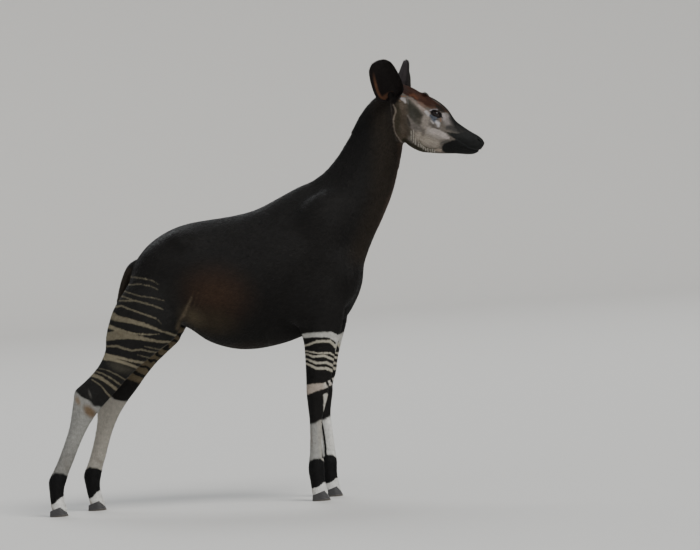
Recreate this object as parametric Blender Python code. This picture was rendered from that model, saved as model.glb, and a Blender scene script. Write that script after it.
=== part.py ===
"""A life-size okapi standing still, facing +X, on a level floor.

The outline in side view comes from pairs of points across each part of the body: a section runs
from its first point (top, nape or front) to its second (belly, throat or rear), and has half-widths
across the animal. Lofts through those sections are fused, smoothed and sculpted as one body,
which thin cuts then divide into torso, neck, head and legs.
"""

import math
from collections import namedtuple

import bmesh
import bpy
import numpy as np
from mathutils import Matrix, Vector

GAP = 0.0003
SIDES = {"right": -1, "left": 1}

BODY_VOXEL = 0.008
HEAD_VOXEL = 0.0036
BODY_TRIANGLES = 6200
HEAD_TRIANGLES = 4300
BODY_SMOOTHING = 12
HEAD_SMOOTHING = 25
MUSCLE_BLEND = 60
# A face cut by another's inflated copy stands off it by this many gaps, to leave one all over.
STAND_OFF = 1.2

# The right feet stand where the sections below put them, and the left ones stand ahead of them.
FORE_FOOT = (0.006, 0.105)
HIND_FOOT = (-1.285, 0.112)
FORE_STRIDE = 0.042
HIND_STRIDE = 0.155
FORE_STRIDE_RANGE = (0.19, 0.55)
STIFLE_HEIGHT = 0.80

HEAD_TURN = math.radians(-7)
NECK_PIVOT = np.array((0.33, 0.0, 1.55))
TURN_START = np.array((0.235, 0.0, 1.45))
TURN_WAY = np.array((0.451, 0.0, 0.892))
TURN_LENGTH = 0.32

EYE_CENTRE = (0.697, 0.0630, 1.799)
EYE_RADIUS = 0.0265
EYE_HALF_LENGTH = 0.0238
EYE_HALF_HEIGHT = 0.0132
EYE_SLANT = math.radians(28)
LID_THICKNESS = 0.0030
# The lids' skin is drawn to the eyeball from the first share of the almond's size out to the second.
LID_SPREAD = (1.1, 1.9)
LID_FLOOR = 0.45
LID_POINTS = 20

NOSTRIL_CENTRE = (0.893, 0.026, 1.662)
NOSTRIL_RADII = (0.0125, 0.0060, 0.0048)
NOSTRIL_TILT = 48
MOUTH_WIDTH = 0.0055
MOUTH_DEPTH = 0.0042
MOUTH_LINE = [(0.895, 1.613), (0.868, 1.616), (0.838, 1.627), (0.805, 1.642), (0.785, 1.652)]

EAR_LENGTH = 0.202
EAR_HALF_GIRTH = 0.095
EAR_THICKNESS = 0.006
EAR_RIM_THINNING = 0.55
EAR_TIP_THINNING = 0.45
EAR_ROOT_RADII = (0.029, 0.029, 0.036)
EAR_ROOT_LIFT = 0.010
EAR_ROOT_DEPTH = 0.014
EAR_ROWS = 11
EAR_COLUMNS = 14

# How far the soles are below the level that the tables count heights from.
SOLE_DEPTH = 0.030
HOOF_LENGTH = 0.090
HOOF_WIDTH = 0.038
HOOF_HEIGHT = 0.043
HOOF_CLEFT = 0.005
HOOF_SIDES = 14
HOOF_INNER_PART = 0.3
HOOF_CHAMFER = 0.0015
TOE_SLOPE = 0.42
HEEL_SLOPE = 0.10
TOE_TURN = 0.15
CORONET_SLOPE = math.tan(math.radians(20))
FOOT_REACH = 0.12

# How far the blocks that cut the neck reach on every side, and those that cut the legs reach down.
BLOCK = 2.0
FLOOR_DEPTH = 0.2

Section = namedtuple("Section", "ax az bx bz y wa wm wb square")


def section(a, b, widths, y=0.0, square=2.2):
    return Section(*a, *b, y, *widths, square)


TORSO = [
    section((-0.862, 1.145), (-0.878, 1.030), (0.030, 0.050, 0.040)),
    section((-0.838, 1.195), (-0.858, 0.965), (0.070, 0.110, 0.090)),
    section((-0.765, 1.272), (-0.790, 0.925), (0.130, 0.178, 0.120)),
    section((-0.665, 1.330), (-0.700, 0.885), (0.160, 0.212, 0.150)),
    section((-0.560, 1.360), (-0.600, 0.845), (0.175, 0.222, 0.190)),
    section((-0.450, 1.371), (-0.500, 0.772), (0.175, 0.236, 0.200)),
    section((-0.340, 1.382), (-0.380, 0.729), (0.175, 0.248, 0.205)),
    section((-0.230, 1.404), (-0.260, 0.722), (0.165, 0.247, 0.195)),
    section((-0.110, 1.458), (-0.130, 0.742), (0.135, 0.232, 0.165)),
    section((0.020, 1.515), (-0.020, 0.775), (0.100, 0.205, 0.130)),
    section((0.100, 1.500), (0.090, 0.800), (0.090, 0.182, 0.110)),
    section((0.200, 1.360), (0.180, 0.850), (0.085, 0.148, 0.085)),
    section((0.262, 1.200), (0.245, 0.945), (0.065, 0.105, 0.065)),
    section((0.280, 1.120), (0.272, 1.020), (0.030, 0.040, 0.030)),
]

NECK = [
    section((-0.060, 1.460), (0.255, 1.030), (0.070, 0.150, 0.100)),
    section((0.061, 1.534), (0.330, 1.200), (0.052, 0.138, 0.095)),
    section((0.125, 1.575), (0.389, 1.309), (0.046, 0.116, 0.082)),
    section((0.190, 1.645), (0.445, 1.430), (0.043, 0.098, 0.072)),
    section((0.261, 1.747), (0.485, 1.555), (0.042, 0.086, 0.068)),
    section((0.321, 1.839), (0.507, 1.640), (0.044, 0.078, 0.064)),
    section((0.389, 1.905), (0.520, 1.685), (0.048, 0.074, 0.056)),
    section((0.455, 1.935), (0.560, 1.720), (0.048, 0.068, 0.048)),
]

HEAD = [
    section((0.440, 1.940), (0.515, 1.690), (0.042, 0.068, 0.042)),
    section((0.500, 1.966), (0.535, 1.668), (0.055, 0.080, 0.043)),
    section((0.565, 1.948), (0.565, 1.645), (0.064, 0.090, 0.045)),
    section((0.625, 1.911), (0.605, 1.626), (0.070, 0.094, 0.046)),
    section((0.690, 1.875), (0.650, 1.618), (0.072, 0.092, 0.043)),
    section((0.742, 1.828), (0.693, 1.612), (0.061, 0.082, 0.039)),
    section((0.780, 1.768), (0.735, 1.609), (0.043, 0.061, 0.033)),
    section((0.820, 1.733), (0.775, 1.606), (0.036, 0.050, 0.030)),
    section((0.858, 1.705), (0.812, 1.601), (0.035, 0.046, 0.029)),
    section((0.890, 1.684), (0.846, 1.598), (0.034, 0.043, 0.027)),
    section((0.909, 1.664), (0.870, 1.602), (0.027, 0.034, 0.020)),
    section((0.916, 1.645), (0.890, 1.614), (0.012, 0.016, 0.010)),
]

FORELEG = [
    section((0.200, 1.050), (-0.100, 1.020), (0.050, 0.082, 0.060), 0.108),
    section((0.195, 0.930), (-0.095, 0.900), (0.050, 0.080, 0.060), 0.111),
    section((0.168, 0.820), (-0.050, 0.815), (0.045, 0.073, 0.050), 0.111),
    section((0.143, 0.745), (-0.030, 0.745), (0.042, 0.064, 0.045), 0.110),
    section((0.116, 0.660), (-0.028, 0.660), (0.040, 0.055, 0.040), 0.109),
    section((0.100, 0.580), (-0.030, 0.580), (0.037, 0.047, 0.036), 0.108),
    section((0.080, 0.525), (-0.032, 0.530), (0.036, 0.046, 0.036), 0.107),
    section((0.072, 0.478), (-0.033, 0.488), (0.036, 0.045, 0.036), 0.107),
    section((0.053, 0.420), (-0.031, 0.430), (0.026, 0.036, 0.028), 0.106),
    section((0.036, 0.360), (-0.028, 0.360), (0.020, 0.029, 0.022), 0.105),
    section((0.028, 0.270), (-0.032, 0.270), (0.018, 0.026, 0.021), 0.105),
    section((0.027, 0.200), (-0.038, 0.200), (0.021, 0.029, 0.025), 0.105),
    section((0.032, 0.145), (-0.048, 0.140), (0.028, 0.037, 0.030), 0.105),
    section((0.030, 0.105), (-0.048, 0.100), (0.028, 0.036, 0.030), 0.105),
    section((0.030, 0.066), (-0.043, 0.060), (0.026, 0.034, 0.028), 0.105),
    section((0.035, 0.034), (-0.040, 0.024), (0.027, 0.036, 0.029), 0.105),
    section((0.040, 0.012), (-0.038, 0.002), (0.028, 0.038, 0.031), 0.105),
    section((0.038, -0.012), (-0.034, -0.017), (0.020, 0.030, 0.022), 0.105),
]

HINDLEG = [
    section((-0.600, 1.240), (-0.800, 1.180), (0.050, 0.080, 0.050), 0.095),
    section((-0.585, 1.100), (-0.895, 1.050), (0.060, 0.098, 0.065), 0.112),
    section((-0.590, 0.960), (-0.955, 0.965), (0.060, 0.100, 0.065), 0.120),
    section((-0.615, 0.865), (-0.982, 0.890), (0.055, 0.094, 0.060), 0.121),
    section((-0.665, 0.795), (-0.995, 0.830), (0.050, 0.085, 0.052), 0.119),
    section((-0.755, 0.735), (-1.003, 0.765), (0.045, 0.070, 0.045), 0.115),
    section((-0.835, 0.680), (-1.032, 0.705), (0.040, 0.058, 0.038), 0.114),
    section((-0.905, 0.620), (-1.075, 0.655), (0.036, 0.050, 0.032), 0.113),
    section((-0.965, 0.560), (-1.125, 0.612), (0.034, 0.045, 0.028), 0.112),
    section((-1.010, 0.518), (-1.166, 0.578), (0.034, 0.044, 0.028), 0.112),
    section((-1.045, 0.482), (-1.178, 0.525), (0.032, 0.041, 0.028), 0.112),
    section((-1.085, 0.435), (-1.190, 0.470), (0.026, 0.034, 0.024), 0.112),
    section((-1.125, 0.375), (-1.207, 0.400), (0.020, 0.029, 0.021), 0.112),
    section((-1.165, 0.300), (-1.240, 0.315), (0.019, 0.027, 0.021), 0.112),
    section((-1.195, 0.235), (-1.272, 0.245), (0.020, 0.028, 0.023), 0.112),
    section((-1.218, 0.190), (-1.298, 0.195), (0.023, 0.031, 0.026), 0.112),
    section((-1.236, 0.145), (-1.325, 0.147), (0.028, 0.037, 0.030), 0.112),
    section((-1.250, 0.108), (-1.326, 0.100), (0.028, 0.036, 0.030), 0.112),
    section((-1.256, 0.066), (-1.325, 0.058), (0.026, 0.034, 0.028), 0.112),
    section((-1.251, 0.034), (-1.322, 0.024), (0.027, 0.036, 0.029), 0.112),
    section((-1.246, 0.012), (-1.320, 0.002), (0.028, 0.038, 0.031), 0.112),
    section((-1.244, -0.012), (-1.316, -0.017), (0.020, 0.030, 0.022), 0.112),
]

TAIL = [
    section((-0.835, 1.200), (-0.805, 1.155), (0.020, 0.026, 0.020)),
    section((-0.880, 1.170), (-0.840, 1.140), (0.019, 0.025, 0.019)),
    section((-0.915, 1.105), (-0.874, 1.092), (0.017, 0.021, 0.017)),
    section((-0.936, 1.040), (-0.902, 1.034), (0.014, 0.017, 0.014)),
    section((-0.952, 0.970), (-0.924, 0.967), (0.011, 0.014, 0.011)),
    section((-0.962, 0.905), (-0.935, 0.904), (0.010, 0.013, 0.010)),
]

TUFT_CORE = [
    section((-0.962, 0.930), (-0.936, 0.929), (0.010, 0.012, 0.010)),
    section((-0.964, 0.885), (-0.936, 0.885), (0.011, 0.014, 0.011)),
    section((-0.957, 0.840), (-0.943, 0.840), (0.006, 0.007, 0.006)),
]

# The locks of the tail's tuft leave its core all round, in turns of the golden angle, and hang down.
LOCK_COUNT = 14
LOCK_AXIS = -0.950
LOCK_ROOTS = (0.918, 0.858)
LOCK_TIPS = (0.822, 0.752)
LOCK_WIDTH = 0.021
LOCK_THICKNESS = 0.0056
LOCK_ROOT_DEPTH = 0.004
LOCK_SPREAD = 0.016
LOCK_RINGS = 6
LOCK_SIDES = 4
GOLDEN_ANGLE = math.pi * (3 - math.sqrt(5))
SEED = 7

# Centre, radii and tilt in side view of each muscle form, made on both sides where y isn't 0.
MUSCLES = {
    "shoulder_blade": ((0.050, 0.098, 1.220), (0.140, 0.088, 0.270), 24),
    "shoulder_point": ((0.165, 0.085, 1.040), (0.105, 0.080, 0.140), 10),
    "triceps": ((0.000, 0.108, 1.000), (0.170, 0.092, 0.180), 30),
    "brisket": ((0.110, 0.0, 0.965), (0.115, 0.105, 0.115), 20),
    "haunch": ((-0.660, 0.095, 1.105), (0.180, 0.116, 0.205), 30),
    "hip_bone": ((-0.580, 0.105, 1.260), (0.105, 0.090, 0.075), 10),
    "stifle": ((-0.712, 0.122, 0.915), (0.090, 0.080, 0.115), 0),
}

# Centre, radii and height of each swelling (or hollow, where negative) on both sides of the head.
HEAD_FORMS = {
    "brow": ((0.694, 0.076, 1.829), (0.055, 0.035, 0.030), 0.0060),
    "temple": ((0.610, 0.085, 1.865), (0.050, 0.040, 0.035), -0.0060),
    "cheekbone": ((0.705, 0.080, 1.758), (0.070, 0.035, 0.022), 0.0050),
    "cheek": ((0.612, 0.085, 1.715), (0.085, 0.050, 0.075), 0.0090),
    "jaw_angle": ((0.560, 0.060, 1.680), (0.040, 0.040, 0.040), 0.0050),
    "cheek_hollow": ((0.722, 0.070, 1.690), (0.055, 0.040, 0.050), -0.0070),
    "nose_side": ((0.800, 0.050, 1.710), (0.070, 0.030, 0.025), -0.0030),
    "nostril_rim": ((0.882, 0.036, 1.672), (0.030, 0.020, 0.020), 0.0045),
    "upper_lip": ((0.862, 0.040, 1.634), (0.050, 0.030, 0.014), 0.0040),
    "lower_lip": ((0.858, 0.032, 1.606), (0.035, 0.025, 0.010), 0.0020),
    "crown": ((0.641, 0.0, 1.912), (0.030, 0.045, 0.025), 0.0060),
}

# How far along the ear, the half-girth as a share of the widest, and half the angle it wraps.
EAR_STATIONS = [
    (0.00, 0.42, 112),
    (0.07, 0.82, 106),
    (0.17, 1.10, 98),
    (0.31, 1.17, 91),
    (0.49, 1.12, 85),
    (0.68, 1.00, 78),
    (0.84, 0.85, 70),
    (0.94, 0.68, 63),
    (1.00, 0.46, 58),
]

# Where each ear starts inside the head, the way it points and the way its cup opens.
EAR_POSES = {
    "right": ((0.483, -0.046, 1.900), (-0.19, -0.44, 0.88), (0.24, -0.95, -0.20)),
    "left": ((0.460, 0.044, 1.901), (0.27, 0.50, 0.84), (0.97, 0.06, -0.20)),
}

# Cut lines in side view: the nape or top end, then the throat or chest end.
NECK_CUT = ((0.060, 1.530), (0.295, 1.130))
HEAD_CUT = ((0.420, 1.930), (0.515, 1.674))
LEG_CUT_RISE = 0.75
LEG_CUT_INSIDE = 0.005
LEG_CUT_OUTSIDE = 0.400
FORE_CUT = [(-0.125, 0.600), (-0.110, 0.660), (-0.070, 0.710), (-0.010, 0.745), (0.050, 0.762),
            (0.110, 0.757), (0.160, 0.735), (0.200, 0.690), (0.225, 0.620)]
HIND_CUT = [(-1.420, 0.925), (-0.900, 0.925), (-0.830, 0.905), (-0.760, 0.880), (-0.700, 0.850),
            (-0.650, 0.815), (-0.610, 0.760), (-0.590, 0.680), (-0.585, 0.600)]

COLOURS = {
    "coat_dark": ((0.030, 0.018, 0.013), 0.75),
    "coat_neck": ((0.034, 0.020, 0.015), 0.75),
    "coat_face": ((0.250, 0.200, 0.160), 0.75),
    "coat_leg": ((0.550, 0.500, 0.430), 0.75),
    "coat_ear": ((0.050, 0.026, 0.018), 0.80),
    "eye": ((0.010, 0.008, 0.008), 0.08),
    "horn": ((0.130, 0.120, 0.115), 0.55),
}


def smoothstep(t):
    t = np.clip(t, 0.0, 1.0)
    return t * t * (3 - 2 * t)


def falloff(distance):
    """1 at the centre, 0 from a distance of 1 on."""
    return np.clip(1 - distance**2, 0, 1) ** 2


def catmull_rom(rows, count, spaced_by):
    """count rows on a smooth curve through the given rows, evenly spread over the named columns."""
    rows = np.array(rows, float)
    steps = np.linalg.norm(np.diff(rows[:, :spaced_by], axis=0), axis=1)
    along = np.concatenate([[0], np.cumsum(steps)])
    padded = np.vstack([2 * rows[0] - rows[1], rows, 2 * rows[-1] - rows[-2]])
    made = []
    for d in np.linspace(0, along[-1], count):
        i = min(int(np.searchsorted(along, d, side="right")) - 1, len(rows) - 2)
        t = (d - along[i]) / steps[i]
        p0, p1, p2, p3 = padded[i : i + 4]
        linear = (p2 - p0) * t
        square = (2 * p0 - 5 * p1 + 4 * p2 - p3) * t**2
        cube = (3 * p1 - p0 - 3 * p2 + p3) * t**3
        made.append(0.5 * (2 * p1 + linear + square + cube))
    return np.array(made)


def ring(row, sides, side):
    """One closed section, whose half-width goes from wb at its second point to wa at its first."""
    ax, az, bx, bz, y, wa, wm, wb, square = row
    angle = np.arange(sides) * 2 * math.pi / sides
    s, c = np.sin(angle), np.cos(angle)
    h = (1 + s) / 2
    low = wb + (wm - wb) * smoothstep(2 * h)
    high = wm + (wa - wm) * smoothstep(2 * h - 1)
    across = np.where(h < 0.5, low, high) * np.sign(c) * np.abs(c) ** (2 / square)
    share = np.sign(s) * np.abs(s) ** (2 / square)
    x = (ax + bx) / 2 + (ax - bx) / 2 * share
    z = (az + bz) / 2 + (az - bz) / 2 * share
    return np.stack([x, side * y + across, z], axis=1)


def tube_faces(rings, sides):
    """Faces of a tube of rings, with both ends closed."""
    faces = []
    for r in range(rings - 1):
        for i in range(sides):
            j = (i + 1) % sides
            faces.append((r * sides + i, r * sides + j, (r + 1) * sides + j, (r + 1) * sides + i))
    faces.append(tuple(range(sides))[::-1])
    faces.append(tuple((rings - 1) * sides + i for i in range(sides)))
    return faces


def loft(sections, rings, sides, side=1, shift=None):
    rows = catmull_rom(sections, rings, 4)
    points = np.vstack([ring(row, sides, side) for row in rows])
    if shift is not None:
        points[:, 0] += shift(points[:, 2])
    return points, tube_faces(rings, sides)


def ellipsoid(centre, radii, tilt, side, segments=24, rows=14):
    bm = bmesh.new()
    bmesh.ops.create_uvsphere(bm, u_segments=segments, v_segments=rows, radius=1.0)
    turn = Matrix.Rotation(math.radians(tilt), 4, "Y")
    place = Matrix.Translation((centre[0], side * centre[1], centre[2]))
    bm.transform(place @ turn @ Matrix.Diagonal((*radii, 1.0)))
    points = np.array([v.co for v in bm.verts])
    faces = [tuple(v.index for v in f.verts) for f in bm.faces]
    bm.free()
    return points, faces


def fore_shift(z):
    low, high = FORE_STRIDE_RANGE
    return FORE_STRIDE * smoothstep((high - z) / (high - low))


def hind_shift(z):
    return HIND_STRIDE * np.clip(1 - z / STIFLE_HEIGHT, 0, 1) ** 0.6


def merged(shapes):
    points, faces, first = [], [], 0
    for p, f in shapes:
        points.append(p)
        faces += [tuple(first + i for i in face) for face in f]
        first += len(p)
    return np.vstack(points), faces


def body_shapes():
    shapes = [loft(TORSO, 60, 40), loft(NECK, 40, 36), loft(HEAD[:4], 20, 36)]
    for side in SIDES.values():
        ahead = side > 0
        shapes.append(loft(FORELEG, 90, 24, side, fore_shift if ahead else None))
        shapes.append(loft(HINDLEG, 110, 24, side, hind_shift if ahead else None))
    for centre, radii, tilt in MUSCLES.values():
        for side in SIDES.values() if centre[1] else (1,):
            shapes.append(ellipsoid(centre, radii, tilt, side))
    return shapes


def mesh_object(name, points, faces):
    mesh = bpy.data.meshes.new(name)
    mesh.from_pydata([tuple(p) for p in points], [], faces)
    bm = bmesh.new()
    bm.from_mesh(mesh)
    bmesh.ops.recalc_face_normals(bm, faces=bm.faces)
    bm.to_mesh(mesh)
    bm.free()
    obj = bpy.data.objects.new(name, mesh)
    bpy.context.scene.collection.objects.link(obj)
    return obj


def copied(obj, name):
    twin = bpy.data.objects.new(name, obj.data.copy())
    bpy.context.scene.collection.objects.link(twin)
    return twin


def removed(obj):
    mesh = obj.data
    bpy.data.objects.remove(obj)
    bpy.data.meshes.remove(mesh)


def apply_modifiers(obj):
    graph = bpy.context.evaluated_depsgraph_get()
    mesh = bpy.data.meshes.new_from_object(obj.evaluated_get(graph))
    obj.modifiers.clear()
    old = obj.data
    obj.data = mesh
    bpy.data.meshes.remove(old)


def fuse(obj, voxel):
    """Makes the overlapping shells of obj one closed skin of even small faces."""
    remesh = obj.modifiers.new("fuse", "REMESH")
    remesh.mode = "VOXEL"
    remesh.voxel_size = voxel
    apply_modifiers(obj)


def thin(obj, triangles):
    """Brings the mesh down to about the given number of triangles, most of them where it bends most."""
    obj.data.calc_loop_triangles()
    decimate = obj.modifiers.new("thin", "DECIMATE")
    decimate.ratio = triangles / len(obj.data.loop_triangles)
    decimate.use_collapse_triangulate = True
    apply_modifiers(obj)


def cut(obj, tool, operation="DIFFERENCE"):
    boolean = obj.modifiers.new("cut", "BOOLEAN")
    boolean.operation = operation
    boolean.solver = "EXACT"
    boolean.object = tool
    apply_modifiers(obj)
    removed(tool)


def keep_largest(obj):
    """Leaves only the closed surface with the most faces."""
    bm = bmesh.new()
    bm.from_mesh(obj.data)
    left = set(bm.faces)
    islands = []
    while left:
        stack = [left.pop()]
        island = []
        while stack:
            face = stack.pop()
            island.append(face)
            for edge in face.edges:
                for other in edge.link_faces:
                    if other in left:
                        left.remove(other)
                        stack.append(other)
        islands.append(island)
    islands.sort(key=len)
    for island in islands[:-1]:
        bmesh.ops.delete(bm, geom=island, context="FACES")
    loose = [v for v in bm.verts if not v.link_faces]
    bmesh.ops.delete(bm, geom=loose, context="VERTS")
    bm.to_mesh(obj.data)
    bm.free()


def places(mesh):
    co = np.empty(len(mesh.vertices) * 3)
    mesh.vertices.foreach_get("co", co)
    return co.reshape(-1, 3)


def normals(mesh):
    no = np.empty(len(mesh.vertices) * 3)
    mesh.vertex_normals.foreach_get("vector", no)
    return no.reshape(-1, 3)


def put(mesh, co):
    mesh.vertices.foreach_set("co", np.asarray(co, np.float32).ravel())
    mesh.update()


def mirrored(co):
    """The same points with those on the right side carried over to the left."""
    return co * np.where(co[:, 1:2] < 0, (1, -1, 1), (1, 1, 1))


def relax(mesh, rounds, weight=1.0, swell=0.52):
    """Smooths the mesh and swells it back after each round, so that thin legs keep their girth."""
    co = places(mesh)
    edges = np.empty(len(mesh.edges) * 2, np.int64)
    mesh.edges.foreach_get("vertices", edges)
    a, b = edges.reshape(-1, 2).T
    count = np.bincount(np.concatenate([a, b]), minlength=len(co))[:, None]
    for _ in range(rounds):
        for factor in (0.5 * weight, -swell * weight):
            sums = [np.bincount(a, co[b, k], len(co)) + np.bincount(b, co[a, k], len(co)) for k in range(3)]
            co = co + factor * (np.stack(sums, axis=1) / count - co)
    put(mesh, co)


def trunk_share(co):
    """1 on the trunk, less on the neck, 0 on the legs: how much the muscle forms are blended there."""
    height = smoothstep((co[:, 2] - 0.80) / 0.18)
    along_neck = smoothstep((co - TURN_START) @ TURN_WAY / TURN_LENGTH + 0.5)
    return (height * (1 - 0.7 * along_neck))[:, None]


def brush(mesh, centre, radii, amount):
    """Raises the skin round centre, on both sides, along its normal."""
    co = places(mesh)
    distance = np.linalg.norm((mirrored(co) - np.array(centre)) / np.array(radii), axis=1)
    put(mesh, co + normals(mesh) * (amount * falloff(distance))[:, None])


def distance_to_line(co, line):
    """How far each point is from a line in side view, and its share of the way along the line."""
    best = np.full(len(co), 1e9)
    where = np.zeros(len(co))
    line = np.array(line)
    flat = co[:, [0, 2]]
    for i in range(len(line) - 1):
        start, way = line[i], line[i + 1] - line[i]
        t = np.clip((flat - start) @ way / (way @ way), 0, 1)
        d = np.linalg.norm(flat - start - t[:, None] * way, axis=1)
        near = d < best
        best[near] = d[near]
        where[near] = (i + t[near]) / (len(line) - 1)
    return best, where


def groove(mesh, line, width, depth):
    """A valley in the skin along a line in side view, which fades out at the line's rear end."""
    co = places(mesh)
    distance, where = distance_to_line(co, line)
    amount = depth * falloff(distance / width) * smoothstep((1 - where) / 0.3)
    put(mesh, co - normals(mesh) * amount[:, None])


def eye_axes():
    """The eye's own directions: along its lids, across them, and out of the head."""
    out = Vector((0.28, 0.93, 0.20)).normalized()
    along = Vector((math.cos(EYE_SLANT), 0.0, -math.sin(EYE_SLANT)))
    along = (along - out * along.dot(out)).normalized()
    return along, out.cross(along) * -1, out


def shape_lids(mesh):
    """Draws the skin round the eye, in and out of the head, onto a shell just proud of the eyeball."""
    co = places(mesh)
    along, up, out = (np.array(v) for v in eye_axes())
    rel = mirrored(co) - np.array(EYE_CENTRE)
    u, v, w = rel @ along, rel @ up, rel @ out
    almond = np.hypot(u / EYE_HALF_LENGTH, v / EYE_HALF_HEIGHT)
    start, end = LID_SPREAD
    weight = (1 - smoothstep((almond - start) / (end - start))) * (w > 0)
    shell = EYE_RADIUS + LID_THICKNESS
    target = np.sqrt(np.maximum(shell**2 - u**2 - v**2, (LID_FLOOR * shell) ** 2))
    cover = np.sqrt(np.maximum(shell**2 - u**2 - v**2, 0)) * (w > 0)
    risen = np.maximum(w + weight * (target - w), cover)
    moved = mirrored(co) + np.where(w > 0, risen - w, 0)[:, None] * out
    put(mesh, np.where(co[:, 1:2] < 0, (1, -1, 1), (1, 1, 1)) * moved)


def prism(profile, near, far, rise=0.0):
    """A closed solid with the given outline in side view, between two values of y, rising outward."""
    points = [(x, y, z + rise * abs(y)) for y in (near, far) for x, z in profile]
    count = len(profile)
    return mesh_object("cutter", points, tube_faces(2, count))


def half_space(line, forward, offset):
    """A large block whose one face lies on a cut line, offset along the line's forward normal."""
    a, b = (np.array(p) for p in line)
    way = (a - b) / np.linalg.norm(a - b)
    normal = np.array((way[1], -way[0]))
    reach = normal * (BLOCK if forward else -BLOCK)
    foot = a + normal * offset
    way = way * BLOCK
    corners = [foot + way, foot - way, foot - way + reach, foot + way + reach]
    return prism(corners, -BLOCK, BLOCK)


def grown(profile, amount):
    """An open outline with its points moved out to the left of its direction."""
    points = np.array(profile)
    ways = np.gradient(points, axis=0)
    out = np.stack([-ways[:, 1], ways[:, 0]], axis=1)
    return [tuple(p) for p in points + amount * out / np.linalg.norm(out, axis=1)[:, None]]


def leg_region(profile, side, grow=0.0):
    """The space of one leg, under an arch that climbs outward from between the legs."""
    arch = grown(profile, grow * math.hypot(1, LEG_CUT_RISE))
    ends = [(arch[-1][0], -FLOOR_DEPTH), (arch[0][0], -FLOOR_DEPTH)]
    near, far = side * (LEG_CUT_INSIDE - grow), side * LEG_CUT_OUTSIDE
    return prism(arch + ends, near, far, LEG_CUT_RISE)


def foot_place(kind, side):
    """Where the middle of a foot's sole is."""
    x, y = FORE_FOOT if kind == "fore" else HIND_FOOT
    stride = FORE_STRIDE if kind == "fore" else HIND_STRIDE
    return x + (stride if side > 0 else 0.0), side * y


def coronet(x, middle):
    """Height of the hoof's upper edge over its sole, which falls towards the heel."""
    return HOOF_HEIGHT + (x - middle) * CORONET_SLOPE


def make_body():
    """Everything but the head, thinned to the solids' own count of faces."""
    body = mesh_object("body", *merged(body_shapes()))
    fuse(body, BODY_VOXEL)
    relax(body.data, BODY_SMOOTHING)
    relax(body.data, MUSCLE_BLEND, trunk_share(places(body.data)), 0.0)
    thin(body, BODY_TRIANGLES)
    return body


def unit(v):
    return np.array(v, float) / np.linalg.norm(v)


def ear_root(name):
    """The swelling of the head that carries an ear."""
    base, axis, opening = EAR_POSES[name]
    centre = np.array(base) + EAR_ROOT_LIFT * unit(axis) - EAR_ROOT_DEPTH * unit(opening)
    return ellipsoid(centre, EAR_ROOT_RADII, 0, 1)


def make_head_skin():
    shapes = [loft(NECK[4:], 24, 48), loft(HEAD, 70, 60)] + [ear_root(name) for name in EAR_POSES]
    head = mesh_object("head", *merged(shapes))
    fuse(head, HEAD_VOXEL)
    relax(head.data, HEAD_SMOOTHING)
    for centre, radii, amount in HEAD_FORMS.values():
        brush(head.data, centre, radii, amount)
    shape_lids(head.data)
    groove(head.data, MOUTH_LINE, MOUTH_WIDTH, MOUTH_DEPTH)
    thin(head, HEAD_TRIANGLES)
    return head


def make_eye(side, name, radius):
    points, faces = ellipsoid(EYE_CENTRE, (radius,) * 3, 0, side, 12, 9)
    return mesh_object(name, points, faces)


def eye_opening(side):
    """An almond-shaped plug from the eyeball's middle out through the lids."""
    along, up, out = eye_axes()
    points = []
    for depth in (0.0, 2.5 * EYE_RADIUS):
        for i in range(LID_POINTS):
            angle = 2 * math.pi * i / LID_POINTS
            u = EYE_HALF_LENGTH * math.cos(angle)
            v = EYE_HALF_HEIGHT * math.sin(angle) * (1 - 0.25 * abs(math.cos(angle)))
            p = Vector(EYE_CENTRE) + along * u + up * v + out * depth
            points.append((p.x, side * p.y, p.z))
    return mesh_object("cutter", points, tube_faces(2, LID_POINTS))


def nostril_hole(side):
    points, faces = ellipsoid(NOSTRIL_CENTRE, NOSTRIL_RADII, NOSTRIL_TILT, side, 12, 8)
    return mesh_object("cutter", points, faces)


def make_ear(name, inflated_head):
    """A cup of even thickness, a wrapped tube at its root and open and blunt at its tip."""
    base, axis, opening = EAR_POSES[name]
    axis = unit(axis)
    opening = unit(opening - axis * (axis @ opening))
    across = np.cross(axis, opening)
    outer, inner = [], []
    for u, girth, wrap in catmull_rom(EAR_STATIONS, EAR_ROWS, 1):
        half = math.radians(wrap)
        radius = EAR_HALF_GIRTH * girth / half
        for v in np.linspace(-1, 1, EAR_COLUMNS):
            inward = opening * math.cos(v * half) - across * math.sin(v * half)
            middle = base + axis * (u * EAR_LENGTH) + opening * radius - inward * radius
            thickness = EAR_THICKNESS * (1 - EAR_RIM_THINNING * abs(v) ** 3)
            thickness *= 1 - EAR_TIP_THINNING * u**3
            outer.append(middle - inward * thickness / 2)
            inner.append(middle + inward * thickness / 2)
    rows, columns = EAR_ROWS, EAR_COLUMNS
    count = rows * columns
    faces = []
    for r in range(rows - 1):
        for c in range(columns - 1):
            i = r * columns + c
            faces.append((i, i + 1, i + columns + 1, i + columns))
            faces.append((count + i, count + i + columns, count + i + columns + 1, count + i + 1))
    rim = [r * columns for r in range(rows)] + [count - columns + c for c in range(1, columns)]
    rim += [r * columns + columns - 1 for r in range(rows - 2, -1, -1)]
    rim += [c for c in range(columns - 2, 0, -1)]
    for i, j in zip(rim, rim[1:] + rim[:1]):
        faces.append((i, j, count + j, count + i))
    ear = mesh_object("ear_" + name, outer + inner, faces)
    cut(ear, copied(inflated_head, "cutter"))
    keep_largest(ear)
    return ear


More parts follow.
